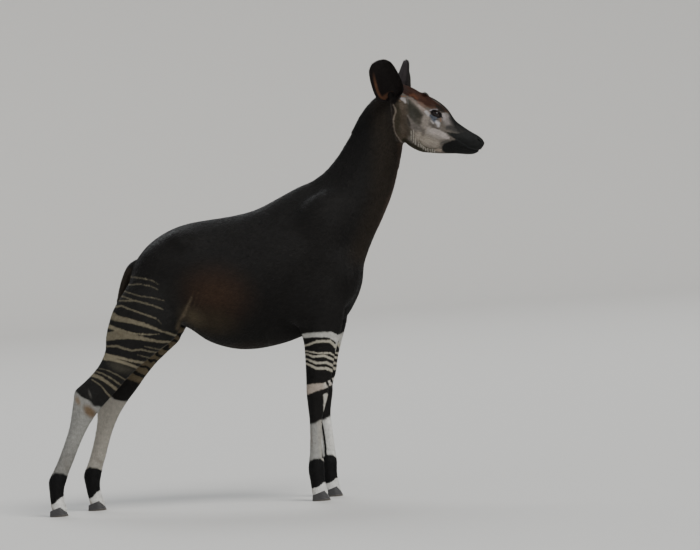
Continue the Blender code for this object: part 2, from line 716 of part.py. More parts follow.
def make_hoof(kind, side_name, claw):
    """One claw: a flat sole, a long sloping toe, a low heel and a nearly straight inner wall."""
    side = SIDES[side_name]
    middle, y = foot_place(kind, side)
    outward = 1 if claw == "outer" else -1
    inner_part = HOOF_INNER_PART * HOOF_WIDTH
    outer_part = HOOF_WIDTH - inner_part
    rings = [(0.0, 0.0, HOOF_CHAMFER), (0.0, 2 * HOOF_CHAMFER, 0.0), (0.5, 0.0, 0.0), (1.0, 0.0, 0.0)]
    points = []
    for share, lift, inset in rings:
        for i in range(HOOF_SIDES):
            angle = 2 * math.pi * i / HOOF_SIDES
            c, s = math.cos(angle), math.sin(angle)
            x = (HOOF_LENGTH / 2 - inset) * c
            x -= share * coronet(x, 0.0) * c * (TOE_SLOPE if c > 0 else HEEL_SLOPE)
            if s > 0:
                across = inner_part + (outer_part - inset) * s**0.8 * (1 - 0.10 * share)
            else:
                across = inner_part - (inner_part - inset) * abs(s) ** 0.6 * (1 - 0.05 * share)
            across = max(across - TOE_TURN * HOOF_WIDTH * max(c, 0) ** 2, 0.0)
            z = lift + share * (coronet(x, 0.0) - lift)
            points.append((middle + x, y + side * outward * (HOOF_CLEFT / 2 + across), z - SOLE_DEPTH))
    name = f"hoof_{kind}_{side_name}_{claw}"
    return mesh_object(name, points, tube_faces(len(rings), HOOF_SIDES))


def coronet_cutter(kind, side):
    """The space of a foot's two hooves, up to their sloping upper edge."""
    middle, y = foot_place(kind, side)
    ends = [middle + FOOT_REACH, middle - FOOT_REACH]
    top = [(x, coronet(x, middle) - SOLE_DEPTH + STAND_OFF * GAP) for x in reversed(ends)]
    return prism([(x, -FOOT_REACH) for x in ends] + top, y - FOOT_REACH, y + FOOT_REACH)


def inflate(obj, amount):
    co, way = places(obj.data), normals(obj.data)
    put(obj.data, co + way * amount)


def make_lock(number, random):
    """A flat, tapered lock of the tuft: out of its core, down, and in again towards its tip."""
    share = number / (LOCK_COUNT - 1)
    root, tip = (ends[0] + (ends[1] - ends[0]) * share for ends in (LOCK_ROOTS, LOCK_TIPS))
    tip += random.uniform(-0.006, 0.006)
    start = number * GOLDEN_ANGLE
    curl = random.uniform(-0.5, 0.5)
    spread = LOCK_SPREAD * random.uniform(0.75, 1.0)
    points = []
    for s in np.linspace(0, 1, LOCK_RINGS):
        angle = start + curl * s
        out = np.array((math.cos(angle), math.sin(angle), 0.0))
        along = np.array((-math.sin(angle), math.cos(angle), 0.0))
        away = LOCK_ROOT_DEPTH + spread * math.sin(math.pi * (0.06 + 0.74 * s))
        middle = np.array((LOCK_AXIS, 0.0, root + (tip - root) * s)) + out * away
        size = (0.6 + 0.4 * math.sin(math.pi * min(s / 0.7, 1.0))) * (1 - 0.93 * s**2.5)
        for i in range(LOCK_SIDES):
            turned = 2 * math.pi * i / LOCK_SIDES
            flat = along * LOCK_WIDTH * math.cos(turned) + out * LOCK_THICKNESS * math.sin(turned)
            points.append(middle + flat * size / 2)
    return mesh_object("lock", points, tube_faces(LOCK_RINGS, LOCK_SIDES))


def fuse_all(obj, pieces):
    """Joins closed pieces to obj by one union."""
    group = bpy.data.collections.new("pieces")
    for piece in pieces:
        group.objects.link(piece)
    boolean = obj.modifiers.new("fuse_all", "BOOLEAN")
    boolean.operation = "UNION"
    boolean.solver = "EXACT"
    boolean.operand_type = "COLLECTION"
    boolean.collection = group
    apply_modifiers(obj)
    for piece in pieces:
        removed(piece)
    bpy.data.collections.remove(group)


def make_tail(inflated_body):
    """The dock and its core, with locks fused all round the core."""
    random = np.random.default_rng(SEED)
    tail = mesh_object("tail", *loft(TAIL, 14, 10))
    locks = [make_lock(number, random) for number in range(LOCK_COUNT)]
    fuse_all(tail, [mesh_object("core", *loft(TUFT_CORE, 8, 12))] + locks)
    cut(tail, copied(inflated_body, "cutter"))
    keep_largest(tail)
    return tail


def turn(obj):
    """Carries the head and upper neck a little to the right, growing along the neck."""
    co = places(obj.data)
    progress = smoothstep((co - TURN_START) @ TURN_WAY / TURN_LENGTH)
    angle = HEAD_TURN * progress
    x, y = co[:, 0] - NECK_PIVOT[0], co[:, 1] - NECK_PIVOT[1]
    co[:, 0] = NECK_PIVOT[0] + x * np.cos(angle) - y * np.sin(angle)
    co[:, 1] = NECK_PIVOT[1] + x * np.sin(angle) + y * np.cos(angle)
    put(obj.data, co)


def part_flesh(body):
    """The torso, neck and legs, cut from one body."""
    nodes = {}
    for side_name, side in SIDES.items():
        for kind, profile in (("fore", FORE_CUT), ("hind", HIND_CUT)):
            leg = copied(body, f"{kind}leg_{side_name}")
            cut(leg, leg_region(profile, side), "INTERSECT")
            keep_largest(leg)
            cut(leg, coronet_cutter(kind, side))
            keep_largest(leg)
            nodes[leg.name] = leg
    trunk = copied(body, "torso")
    for side in SIDES.values():
        cut(trunk, leg_region(FORE_CUT, side, GAP))
        cut(trunk, leg_region(HIND_CUT, side, GAP))
    cut(trunk, half_space(HEAD_CUT, True, -GAP / 2))
    keep_largest(trunk)
    neck = copied(trunk, "neck")
    cut(neck, half_space(NECK_CUT, True, GAP / 2), "INTERSECT")
    cut(trunk, half_space(NECK_CUT, True, -GAP / 2))
    for obj in (trunk, neck):
        keep_largest(obj)
        nodes[obj.name] = obj
    return nodes


def make_material(name):
    colour, roughness = COLOURS[name]
    material = bpy.data.materials.new(name)
    material.use_nodes = True
    shader = material.node_tree.nodes["Principled BSDF"]
    shader.inputs["Base Color"].default_value = (*colour, 1.0)
    shader.inputs["Roughness"].default_value = roughness
    shader.inputs["Metallic"].default_value = 0.0
    return material


def material_of(name):
    if name.startswith(("foreleg", "hindleg")):
        return "coat_leg"
    kinds = {"torso": "coat_dark", "tail": "coat_dark", "neck": "coat_neck", "head": "coat_face"}
    kinds.update({"ear": "coat_ear", "eye": "eye", "hoof": "horn"})
    return kinds[name.split("_")[0]]


def finish(nodes):
    """Gives each node its material and its own origin, and stands the whole on the world's origin."""
    materials = {name: make_material(name) for name in COLOURS}
    lowest, highest = np.full(3, 1e9), np.full(3, -1e9)
    for obj in nodes.values():
        co = places(obj.data)
        lowest, highest = np.minimum(lowest, co.min(axis=0)), np.maximum(highest, co.max(axis=0))
    root = bpy.data.objects.new("okapi", None)
    bpy.context.scene.collection.objects.link(root)
    root.location = (-(lowest[0] + highest[0]) / 2, -(lowest[1] + highest[1]) / 2, -lowest[2])
    for name, obj in nodes.items():
        co = places(obj.data)
        middle = (co.min(axis=0) + co.max(axis=0)) / 2
        put(obj.data, co - middle)
        obj.data.materials.clear()
        obj.data.materials.append(materials[material_of(name)])
        obj.data.shade_smooth()
        obj.location = middle
        obj.parent = root


def main():
    for obj in list(bpy.data.objects):
        bpy.data.objects.remove(obj)
    body = make_body()
    nodes = part_flesh(body)
    head = make_head_skin()
    shell = copied(head, "shell")
    inflate(shell, STAND_OFF * GAP)
    cut(head, half_space(HEAD_CUT, True, GAP / 2), "INTERSECT")
    for side_name, side in SIDES.items():
        cut(head, make_eye(side, "cutter", EYE_RADIUS + GAP))
        cut(head, eye_opening(side))
        cut(head, nostril_hole(side))
        nodes["eye_" + side_name] = make_eye(side, "eye_" + side_name, EYE_RADIUS)
        nodes["ear_" + side_name] = make_ear(side_name, shell)
    keep_largest(head)
    nodes["head"] = head
    removed(shell)
    inflate(body, STAND_OFF * GAP)
    nodes["tail"] = make_tail(body)
    removed(body)
    for obj in nodes.values():
        turn(obj)
    for side_name in SIDES:
        for kind in ("fore", "hind"):
            for claw in ("outer", "inner"):
                hoof = make_hoof(kind, side_name, claw)
                nodes[hoof.name] = hoof
    finish(nodes)


main()
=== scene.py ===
"""The looks of a life-size okapi, dressed over the solids' frame.

One skin grown from the solids' own sections stands for all the flesh, with finer lids, lips, ears and
folds. Short tufts lie over it as the coat lies on the animal, and both carry the same markings. The
skin is made, painted and covered before the head is turned, so that both sides are alike.
"""

import math
from collections import namedtuple

import bmesh
import bpy
import numpy as np
from mathutils import Matrix, Vector


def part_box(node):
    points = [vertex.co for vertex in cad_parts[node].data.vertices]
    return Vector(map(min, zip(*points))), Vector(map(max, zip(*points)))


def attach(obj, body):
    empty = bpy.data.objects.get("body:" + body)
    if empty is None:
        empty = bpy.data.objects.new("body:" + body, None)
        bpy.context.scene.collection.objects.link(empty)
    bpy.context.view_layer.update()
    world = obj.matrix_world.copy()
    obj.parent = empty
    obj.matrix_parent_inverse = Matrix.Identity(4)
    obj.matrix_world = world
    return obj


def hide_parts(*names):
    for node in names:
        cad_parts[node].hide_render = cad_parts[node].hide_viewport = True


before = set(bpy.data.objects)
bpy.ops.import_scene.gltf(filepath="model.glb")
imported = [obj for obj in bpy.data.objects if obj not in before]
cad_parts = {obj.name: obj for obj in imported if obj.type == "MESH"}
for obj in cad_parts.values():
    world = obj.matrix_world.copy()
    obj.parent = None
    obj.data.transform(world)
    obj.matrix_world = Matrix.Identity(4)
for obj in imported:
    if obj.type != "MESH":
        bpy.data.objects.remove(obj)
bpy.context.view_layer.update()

SIDES = {"right": -1, "left": 1}
SEED = 7

# Face sizes of the fused meshes, and how many rounds each is smoothed.
BODY_VOXEL = 0.008
HEAD_VOXEL = 0.0036
BODY_SMOOTHING = 12
HEAD_SMOOTHING = 25
MUSCLE_BLEND = 60

# The middle of a sole on each side, and how far and up to where the left legs stand ahead.
FORE_FOOT = (0.006, 0.105)
HIND_FOOT = (-1.285, 0.112)
FORE_STRIDE = 0.042
HIND_STRIDE = 0.155
FORE_STRIDE_RANGE = (0.19, 0.55)
STIFLE_HEIGHT = 0.80

# The head's turn to the right, about an upright line, and the stretch of neck that takes it up.
HEAD_TURN = math.radians(-7)
NECK_PIVOT = np.array((0.33, 0.0, 1.55))
TURN_START = np.array((0.235, 0.0, 1.45))
TURN_WAY = np.array((0.451, 0.0, 0.892))
TURN_LENGTH = 0.32

# The left eye, its lids' opening, the cornea over the iris, and the lashes.
EYE_CENTRE = (0.697, 0.0630, 1.799)
EYE_RADIUS = 0.0265
EYE_HALF_LENGTH = 0.0238
EYE_HALF_HEIGHT = 0.0132
EYE_SLANT = math.radians(28)
EYE_OUTWARD = (0.28, 0.93, 0.20)
EYE_GAP = 0.0002
EYE_RINGS = 72
EYE_SIDES = 96
CORNEA_HEIGHT = 0.0011
IRIS_ANGLE = 0.62
PUPIL_RADII = (0.36, 0.20)
LID_THICKNESS = 0.0030
LID_SPREAD = (1.1, 1.9)
LID_FLOOR = 0.45
LID_POINTS = 96
LASHES = 60
LASH_LENGTH = 0.011
LASH_WIDTH = 0.0007

NOSTRIL_CENTRE = (0.893, 0.026, 1.662)
NOSTRIL_RADII = (0.0125, 0.0060, 0.0048)
NOSTRIL_TILT = 48

# Grooves in the skin: the line in side view, which fades out at its rear end, its width and its depth.
GROOVES = {
    "mouth": ([(0.895, 1.613), (0.868, 1.616), (0.838, 1.627), (0.805, 1.642), (0.785, 1.652)],
              0.0055, 0.0042),
    "under_eye": ([(0.712, 1.729), (0.700, 1.736), (0.689, 1.740), (0.676, 1.742)], 0.0045, 0.0016),
    "over_eye": ([(0.660, 1.826), (0.680, 1.838), (0.702, 1.838), (0.722, 1.826)], 0.0045, 0.0016),
    "jaw": ([(0.560, 1.730), (0.572, 1.700), (0.590, 1.675), (0.612, 1.655)], 0.0060, 0.0016),
    "flank": ([(-0.636, 0.860), (-0.612, 0.900), (-0.590, 0.940), (-0.560, 0.985)], 0.0160, 0.0050),
    "flank_front": ([(-0.600, 0.900), (-0.560, 0.950), (-0.535, 1.020)], 0.0140, 0.0035),
}

# Each ear's cup, and the swelling of the head that carries it.
EAR_LENGTH = 0.202
EAR_HALF_GIRTH = 0.095
EAR_THICKNESS = 0.006
EAR_RIM_THINNING = 0.55
EAR_TIP_THINNING = 0.45
EAR_ROOT_RADII = (0.029, 0.029, 0.036)
EAR_ROOT_LIFT = 0.010
EAR_ROOT_DEPTH = 0.014
EAR_ROWS = 64
EAR_COLUMNS = 90

# A claw of a hoof, whose sole is this far under the level of the grass.
SOLE_DEPTH = 0.030
HOOF_LENGTH = 0.090
HOOF_WIDTH = 0.038
HOOF_HEIGHT = 0.043
HOOF_CLEFT = 0.005
HOOF_INNER_PART = 0.3
HOOF_RINGS = 40
HOOF_SIDES = 72
GROWTH_RINGS = 6.5
GROWTH_RING_DEPTH = 0.00045
TOE_SLOPE = 0.42
HEEL_SLOPE = 0.10
TOE_TURN = 0.15
CORONET_SLOPE = math.tan(math.radians(20))

# The tail's long hair: where it grows and ends, and where its locks hang.
TAIL_HAIRS = 1500
TAIL_HAIR_STEPS = 8
TAIL_HAIR_WIDTH = 0.0030
TAIL_LOCKS = 12
TUFT_TOP = 0.995
TUFT_ROOTS = 0.100
TUFT_TIPS = (0.850, 0.765)
LOCK_AXIS = -0.950

# The small tuft on the forehead, and the sparse whiskers of the muzzle.
CREST_CENTRE = (0.650, 1.900)
CREST_RADII = (0.020, 0.014)
CREST_HEIGHT = 0.0070
WHISKER_SHARE = 0.012
WHISKER_LENGTH = 0.020
WHISKER_LIFT = 0.014
WHISKER_WIDTH = 0.0006

# The part of the unwrap that each tuft takes up.
UV_PATCH = 0.003

# The camera that shows the model as the photo does, with its angles in degrees.
CAMERA_TARGET = (0.209, 0.0, 1.052)
CAMERA_YAW = 5.0
CAMERA_RISE = 1.43
CAMERA_ROLL = 3.9
CAMERA_DISTANCE = 18.0
PIXELS_PER_METRE = 205.0
IMAGE_WIDTH = 700
IMAGE_HEIGHT = 550
SENSOR_WIDTH = 36.0

# Each sun's direction, strength, apparent size in degrees and colour.
SUNS = [
    ("key", (0.70, -0.60, 1.15), 1.9, 25, (1.0, 0.98, 0.94)),
    ("back", (-0.3, 0.9, 0.9), 1.1, 30, (0.95, 0.98, 1.0)),
]
SKY_COLOUR = (0.92, 0.96, 1.0)
SKY_STRENGTH = 0.52
FLOOR_COLOUR = (0.62, 0.61, 0.59)
FLOOR_MIDDLE = 8.0
FLOOR_RADIUS = 26.0
WALL_CURVE = 8.0
WALL_TOP = 14.0
WALL_STEPS = 12
WALL_SIDES = 96

Section = namedtuple("Section", "ax az bx bz y wa wm wb square")
Coat = namedtuple("Coat", "length width spacing")


def section(a, b, widths, y=0.0, square=2.2):
    return Section(*a, *b, y, *widths, square)


TORSO = [
    section((-0.862, 1.145), (-0.878, 1.030), (0.030, 0.050, 0.040)),
    section((-0.838, 1.195), (-0.858, 0.965), (0.070, 0.110, 0.090)),
    section((-0.765, 1.272), (-0.790, 0.925), (0.130, 0.178, 0.120)),
    section((-0.665, 1.330), (-0.700, 0.885), (0.160, 0.212, 0.150)),
    section((-0.560, 1.360), (-0.600, 0.845), (0.175, 0.222, 0.190)),
    section((-0.450, 1.371), (-0.500, 0.772), (0.175, 0.236, 0.200)),
    section((-0.340, 1.382), (-0.380, 0.729), (0.175, 0.248, 0.205)),
    section((-0.230, 1.404), (-0.260, 0.722), (0.165, 0.247, 0.195)),
    section((-0.110, 1.458), (-0.130, 0.742), (0.135, 0.232, 0.165)),
    section((0.020, 1.515), (-0.020, 0.775), (0.100, 0.205, 0.130)),
    section((0.100, 1.500), (0.090, 0.800), (0.090, 0.182, 0.110)),
    section((0.200, 1.360), (0.180, 0.850), (0.085, 0.148, 0.085)),
    section((0.262, 1.200), (0.245, 0.945), (0.065, 0.105, 0.065)),
    section((0.280, 1.120), (0.272, 1.020), (0.030, 0.040, 0.030)),
]

NECK = [
    section((-0.060, 1.460), (0.255, 1.030), (0.070, 0.150, 0.100)),
    section((0.061, 1.534), (0.330, 1.200), (0.052, 0.138, 0.095)),
    section((0.125, 1.575), (0.389, 1.309), (0.046, 0.116, 0.082)),
    section((0.190, 1.645), (0.445, 1.430), (0.043, 0.098, 0.072)),
    section((0.261, 1.747), (0.485, 1.555), (0.042, 0.086, 0.068)),
    section((0.321, 1.839), (0.507, 1.640), (0.044, 0.078, 0.064)),
    section((0.389, 1.905), (0.520, 1.685), (0.048, 0.074, 0.056)),
    section((0.455, 1.935), (0.560, 1.720), (0.048, 0.068, 0.048)),
]

HEAD = [
    section((0.440, 1.940), (0.515, 1.690), (0.042, 0.068, 0.042)),
    section((0.500, 1.966), (0.535, 1.668), (0.055, 0.080, 0.043)),
    section((0.565, 1.948), (0.565, 1.645), (0.064, 0.090, 0.045)),
    section((0.625, 1.911), (0.605, 1.626), (0.070, 0.094, 0.046)),
    section((0.690, 1.875), (0.650, 1.618), (0.072, 0.092, 0.043)),
    section((0.742, 1.828), (0.693, 1.612), (0.061, 0.082, 0.039)),
    section((0.780, 1.768), (0.735, 1.609), (0.043, 0.061, 0.033)),
    section((0.820, 1.733), (0.775, 1.606), (0.036, 0.050, 0.030)),
    section((0.858, 1.705), (0.812, 1.601), (0.035, 0.046, 0.029)),
    section((0.890, 1.684), (0.846, 1.598), (0.034, 0.043, 0.027)),
    section((0.909, 1.664), (0.870, 1.602), (0.027, 0.034, 0.020)),
    section((0.916, 1.645), (0.890, 1.614), (0.012, 0.016, 0.010)),
]

FORELEG = [
    section((0.200, 1.050), (-0.100, 1.020), (0.050, 0.082, 0.060), 0.108),
    section((0.195, 0.930), (-0.095, 0.900), (0.050, 0.080, 0.060), 0.111),
    section((0.168, 0.820), (-0.050, 0.815), (0.045, 0.073, 0.050), 0.111),
    section((0.143, 0.745), (-0.030, 0.745), (0.042, 0.064, 0.045), 0.110),
    section((0.116, 0.660), (-0.028, 0.660), (0.040, 0.055, 0.040), 0.109),
    section((0.100, 0.580), (-0.030, 0.580), (0.037, 0.047, 0.036), 0.108),
    section((0.080, 0.525), (-0.032, 0.530), (0.036, 0.046, 0.036), 0.107),
    section((0.072, 0.478), (-0.033, 0.488), (0.036, 0.045, 0.036), 0.107),
    section((0.053, 0.420), (-0.031, 0.430), (0.026, 0.036, 0.028), 0.106),
    section((0.036, 0.360), (-0.028, 0.360), (0.020, 0.029, 0.022), 0.105),
    section((0.028, 0.270), (-0.032, 0.270), (0.018, 0.026, 0.021), 0.105),
    section((0.027, 0.200), (-0.038, 0.200), (0.021, 0.029, 0.025), 0.105),
    section((0.032, 0.145), (-0.048, 0.140), (0.028, 0.037, 0.030), 0.105),
    section((0.030, 0.105), (-0.048, 0.100), (0.028, 0.036, 0.030), 0.105),
    section((0.030, 0.066), (-0.043, 0.060), (0.026, 0.034, 0.028), 0.105),
    section((0.035, 0.034), (-0.040, 0.024), (0.027, 0.036, 0.029), 0.105),
    section((0.040, 0.012), (-0.038, 0.002), (0.028, 0.038, 0.031), 0.105),
    section((0.038, -0.012), (-0.034, -0.017), (0.020, 0.030, 0.022), 0.105),
]

HINDLEG = [
    section((-0.600, 1.240), (-0.800, 1.180), (0.050, 0.080, 0.050), 0.095),
    section((-0.585, 1.100), (-0.895, 1.050), (0.060, 0.098, 0.065), 0.112),
    section((-0.590, 0.960), (-0.955, 0.965), (0.060, 0.100, 0.065), 0.120),
    section((-0.615, 0.865), (-0.982, 0.890), (0.055, 0.094, 0.060), 0.121),
    section((-0.665, 0.795), (-0.995, 0.830), (0.050, 0.085, 0.052), 0.119),
    section((-0.755, 0.735), (-1.003, 0.765), (0.045, 0.070, 0.045), 0.115),
    section((-0.835, 0.680), (-1.032, 0.705), (0.040, 0.058, 0.038), 0.114),
    section((-0.905, 0.620), (-1.075, 0.655), (0.036, 0.050, 0.032), 0.113),
    section((-0.965, 0.560), (-1.125, 0.612), (0.034, 0.045, 0.028), 0.112),
    section((-1.010, 0.518), (-1.166, 0.578), (0.034, 0.044, 0.028), 0.112),
    section((-1.045, 0.482), (-1.178, 0.525), (0.032, 0.041, 0.028), 0.112),
    section((-1.085, 0.435), (-1.190, 0.470), (0.026, 0.034, 0.024), 0.112),
    section((-1.125, 0.375), (-1.207, 0.400), (0.020, 0.029, 0.021), 0.112),
    section((-1.165, 0.300), (-1.240, 0.315), (0.019, 0.027, 0.021), 0.112),
    section((-1.195, 0.235), (-1.272, 0.245), (0.020, 0.028, 0.023), 0.112),
    section((-1.218, 0.190), (-1.298, 0.195), (0.023, 0.031, 0.026), 0.112),
    section((-1.236, 0.145), (-1.325, 0.147), (0.028, 0.037, 0.030), 0.112),
    section((-1.250, 0.108), (-1.326, 0.100), (0.028, 0.036, 0.030), 0.112),
    section((-1.256, 0.066), (-1.325, 0.058), (0.026, 0.034, 0.028), 0.112),
    section((-1.251, 0.034), (-1.322, 0.024), (0.027, 0.036, 0.029), 0.112),
    section((-1.246, 0.012), (-1.320, 0.002), (0.028, 0.038, 0.031), 0.112),
    section((-1.244, -0.012), (-1.316, -0.017), (0.020, 0.030, 0.022), 0.112),
]

TAIL = [
    section((-0.835, 1.200), (-0.805, 1.155), (0.020, 0.026, 0.020)),
    section((-0.880, 1.170), (-0.840, 1.140), (0.019, 0.025, 0.019)),
    section((-0.915, 1.105), (-0.874, 1.092), (0.017, 0.021, 0.017)),
    section((-0.936, 1.040), (-0.902, 1.034), (0.014, 0.017, 0.014)),
    section((-0.952, 0.970), (-0.924, 0.967), (0.011, 0.014, 0.011)),
    section((-0.962, 0.905), (-0.935, 0.904), (0.010, 0.013, 0.010)),
]

# Centre, radii and tilt in side view of each muscle form, made on both sides where y isn't 0.
MUSCLES = {
    "shoulder_blade": ((0.050, 0.098, 1.220), (0.140, 0.088, 0.270), 24),
    "shoulder_point": ((0.165, 0.085, 1.040), (0.105, 0.080, 0.140), 10),
    "triceps": ((0.000, 0.108, 1.000), (0.170, 0.092, 0.180), 30),
    "brisket": ((0.110, 0.0, 0.965), (0.115, 0.105, 0.115), 20),
    "haunch": ((-0.660, 0.095, 1.105), (0.180, 0.116, 0.205), 30),
    "hip_bone": ((-0.580, 0.105, 1.260), (0.105, 0.090, 0.075), 10),
    "stifle": ((-0.712, 0.122, 0.915), (0.090, 0.080, 0.115), 0),
}

# Centre, radii and height of each swelling (or hollow, where negative) on both sides of the head.
HEAD_FORMS = {
    "brow": ((0.694, 0.076, 1.829), (0.055, 0.035, 0.030), 0.0060),
    "temple": ((0.610, 0.085, 1.865), (0.050, 0.040, 0.035), -0.0060),
    "cheekbone": ((0.705, 0.080, 1.758), (0.070, 0.035, 0.022), 0.0050),
    "cheek": ((0.612, 0.085, 1.715), (0.085, 0.050, 0.075), 0.0090),
    "jaw_angle": ((0.560, 0.060, 1.680), (0.040, 0.040, 0.040), 0.0050),
    "cheek_hollow": ((0.722, 0.070, 1.690), (0.055, 0.040, 0.050), -0.0070),
    "nose_side": ((0.800, 0.050, 1.710), (0.070, 0.030, 0.025), -0.0030),
    "nostril_rim": ((0.882, 0.036, 1.672), (0.030, 0.020, 0.020), 0.0045),
    "upper_lip": ((0.862, 0.040, 1.634), (0.050, 0.030, 0.014), 0.0040),
    "lower_lip": ((0.858, 0.032, 1.606), (0.035, 0.025, 0.010), 0.0020),
    "crown": ((0.641, 0.0, 1.912), (0.030, 0.045, 0.025), 0.0060),
}

# How far along the ear, the half-girth as a share of the widest, and half the angle it wraps.
EAR_STATIONS = [
    (0.00, 0.42, 112),
    (0.07, 0.82, 106),
    (0.17, 1.10, 98),
    (0.31, 1.17, 91),
    (0.49, 1.12, 85),
    (0.68, 1.00, 78),
    (0.84, 0.85, 70),
    (0.94, 0.68, 63),
    (1.00, 0.46, 58),
]

# Where each ear starts inside the head, the way it points and the way its cup opens.
EAR_POSES = {
    "right": ((0.483, -0.046, 1.900), (-0.19, -0.44, 0.88), (0.24, -0.95, -0.20)),
    "left": ((0.460, 0.044, 1.901), (0.27, 0.50, 0.84), (0.97, 0.06, -0.20)),
}

# Cut lines in side view: the nape end, then the throat end.
NECK_CUT = ((0.060, 1.530), (0.295, 1.130))
HEAD_CUT = ((0.420, 1.930), (0.515, 1.674))
FORE_CUT = [(-0.125, 0.600), (-0.110, 0.660), (-0.070, 0.710), (-0.010, 0.745), (0.050, 0.762),
            (0.110, 0.757), (0.160, 0.735), (0.200, 0.690), (0.225, 0.620)]
HIND_CUT = [(-1.420, 0.925), (-0.900, 0.925), (-0.830, 0.905), (-0.760, 0.880), (-0.700, 0.850),
            (-0.650, 0.815), (-0.610, 0.760), (-0.590, 0.680), (-0.585, 0.600)]

# The skin is fused finer than the solids, and its faces are split again where it shows fine forms.
SKIN_VOXEL = 0.0053
HEAD_ZONE = 0.030
FINE_SPOTS = [((0.697, 0.063, 1.799), 0.055), ((0.885, 0.028, 1.655), 0.040), ((0.860, 0.020, 1.615), 0.050)]

# How deep the skin lies under the solids' surface, which is that of the coat.
COAT_DEPTH = {"body": 0.0028, "neck": 0.0028, "thigh": 0.0022, "leg": 0.0018, "head": 0.0012,
              "muzzle": 0.0006, "ear": 0.0007}

# Colours used more than once.
CREAM = (0.232, 0.204, 0.142)
THIN_CREAM = (0.170, 0.150, 0.105)
DARK = (0.0122, 0.0112, 0.0107)
BLACK = (0.0085, 0.0082, 0.0085)
WHITE = (0.800, 0.790, 0.760)
PINK_CREAM = (0.480, 0.410, 0.350)
TAN = (0.270, 0.185, 0.110)
HORN = (0.060, 0.058, 0.060)
WORN_HORN = (0.150, 0.130, 0.105)

# Cream lines of the thigh, read off an enlarged part of the photo: each point and half the line's
# width, in the enlargement's pixels, from this corner of the photo and at this scale.
THIGH_CORNER = (95, 250)
THIGH_SCALE = 9.225
THIGH_LINES = [
    [(152, 248, 7.5), (310, 245, 7), (450, 265, 5), (530, 285, 3), (590, 320, 1.5)],
    [(158, 315, 8), (270, 308, 8), (320, 322, 6), (420, 316, 5), (500, 330, 4), (580, 365, 1.5)],
    [(125, 360, 7), (230, 362, 7), (300, 392, 6), (420, 428, 5), (530, 440, 4), (640, 470, 2)],
    [(85, 403, 9), (190, 405, 9), (260, 430, 9), (330, 455, 8), (375, 468, 5)],
    [(70, 478, 8), (160, 472, 8), (270, 470, 8), (375, 470, 9), (460, 492, 9), (540, 515, 8), (630, 550, 5)],
    [(45, 545, 9), (175, 531, 9), (240, 515, 9), (330, 550, 9), (430, 585, 8), (500, 610, 8), (560, 630, 6),
     (615, 680, 2)],
    [(25, 592, 42), (130, 592, 42), (200, 630, 28), (270, 645, 24), (400, 675, 19), (500, 705, 17),
     (600, 740, 12), (675, 765, 10), (830, 820, 8.5)],
    [(45, 700, 22), (115, 700, 22), (180, 725, 18), (270, 750, 9), (380, 775, 6), (500, 780, 5),
     (590, 775, 2)],
    [(15, 808, 36), (95, 803, 36), (200, 785, 42), (300, 790, 30), (400, 808, 20), (500, 830, 14),
     (600, 845, 11), (685, 848, 10), (835, 876, 9.5)],
    [(5, 893, 12), (100, 887, 12), (200, 887, 12), (270, 910, 12), (340, 928, 11), (420, 918, 10),
     (500, 935, 8), (650, 954, 8)],
    [(460, 890, 5), (540, 907, 7), (605, 918, 8), (660, 877, 8)],
    [(-5, 976, 20), (90, 972, 20), (200, 990, 14), (300, 1012, 11), (397, 1033, 12), (508, 1048, 8.5)],
    [(390, 965, 4), (467, 986, 7), (578, 1016, 8)],
    [(-20, 1005, 14), (75, 1001, 14), (170, 1012, 14), (282, 1044, 13), (378, 1079, 12), (495, 1125, 8.5)],
    [(40, 1093, 5), (111, 1110, 5), (200, 1150, 8), (333, 1230, 8)],
    [(-14, 1115, 6), (70, 1140, 6), (150, 1185, 9), (299, 1289, 9)],
    [(-105, 1140, 16), (-8, 1156, 16), (60, 1185, 15), (140, 1240, 13), (265, 1339, 12)],
    [(-27, 1196, 6), (60, 1255, 6), (100, 1310, 9), (132, 1345, 11), (252, 1425, 10)],
]
WIDE_THIGH_LINE = 13
THIN_LINE_SHARE = 0.8

# Cream lines of the foreleg from under the elbow down to the knee, and their widths, in the photo's pixels.
FORE_LINES = [
    [(292, 338, 2.1), (305, 335.5, 2.2), (318, 334.5, 2.7), (330, 334.5, 3), (340, 340.5, 4.1)],
    [(340, 336, 2), (338.2, 345.4, 3.1), (337, 352.5, 1.8)],
    [(293, 347.3, 1), (306, 345.5, 1), (317.5, 341.4, 1.2), (330, 341.2, 1.3), (338.8, 350, 1.4)],
    [(293, 352.4, 0.7), (307, 351.2, 0.7), (317, 353, 0.7), (330, 353, 0.8), (339, 358.5, 0.7)],
    [(293, 354.5, 0.9), (307.6, 354.3, 0.9), (313.5, 356.9, 1), (323.8, 355.5, 1.1), (337, 361.5, 1.1)],
    [(293, 358.2, 1), (307.6, 359.4, 1), (316, 363, 1.2), (326.2, 362.7, 1.2), (338, 368, 1.2)],
    [(293.5, 362.3, 1), (307.5, 364, 1), (316, 368.2, 1.3), (326.2, 368.5, 1.3), (338, 373, 1.3)],
]
WIDE_FORE_LINE = 1.6

# Coat length, width and how far apart the tufts' roots are, in each region.
COATS = {
    "body": Coat(0.0135, 0.0026, 0.0041),
    "neck": Coat(0.0120, 0.0024, 0.0038),
    "thigh": Coat(0.0100, 0.0020, 0.0030),
    "leg": Coat(0.0075, 0.0018, 0.0028),
    "head": Coat(0.0060, 0.0013, 0.0020),
    "muzzle": Coat(0.0035, 0.0010, 0.0020),
    "ear": Coat(0.0075, 0.0016, 0.0024),
}

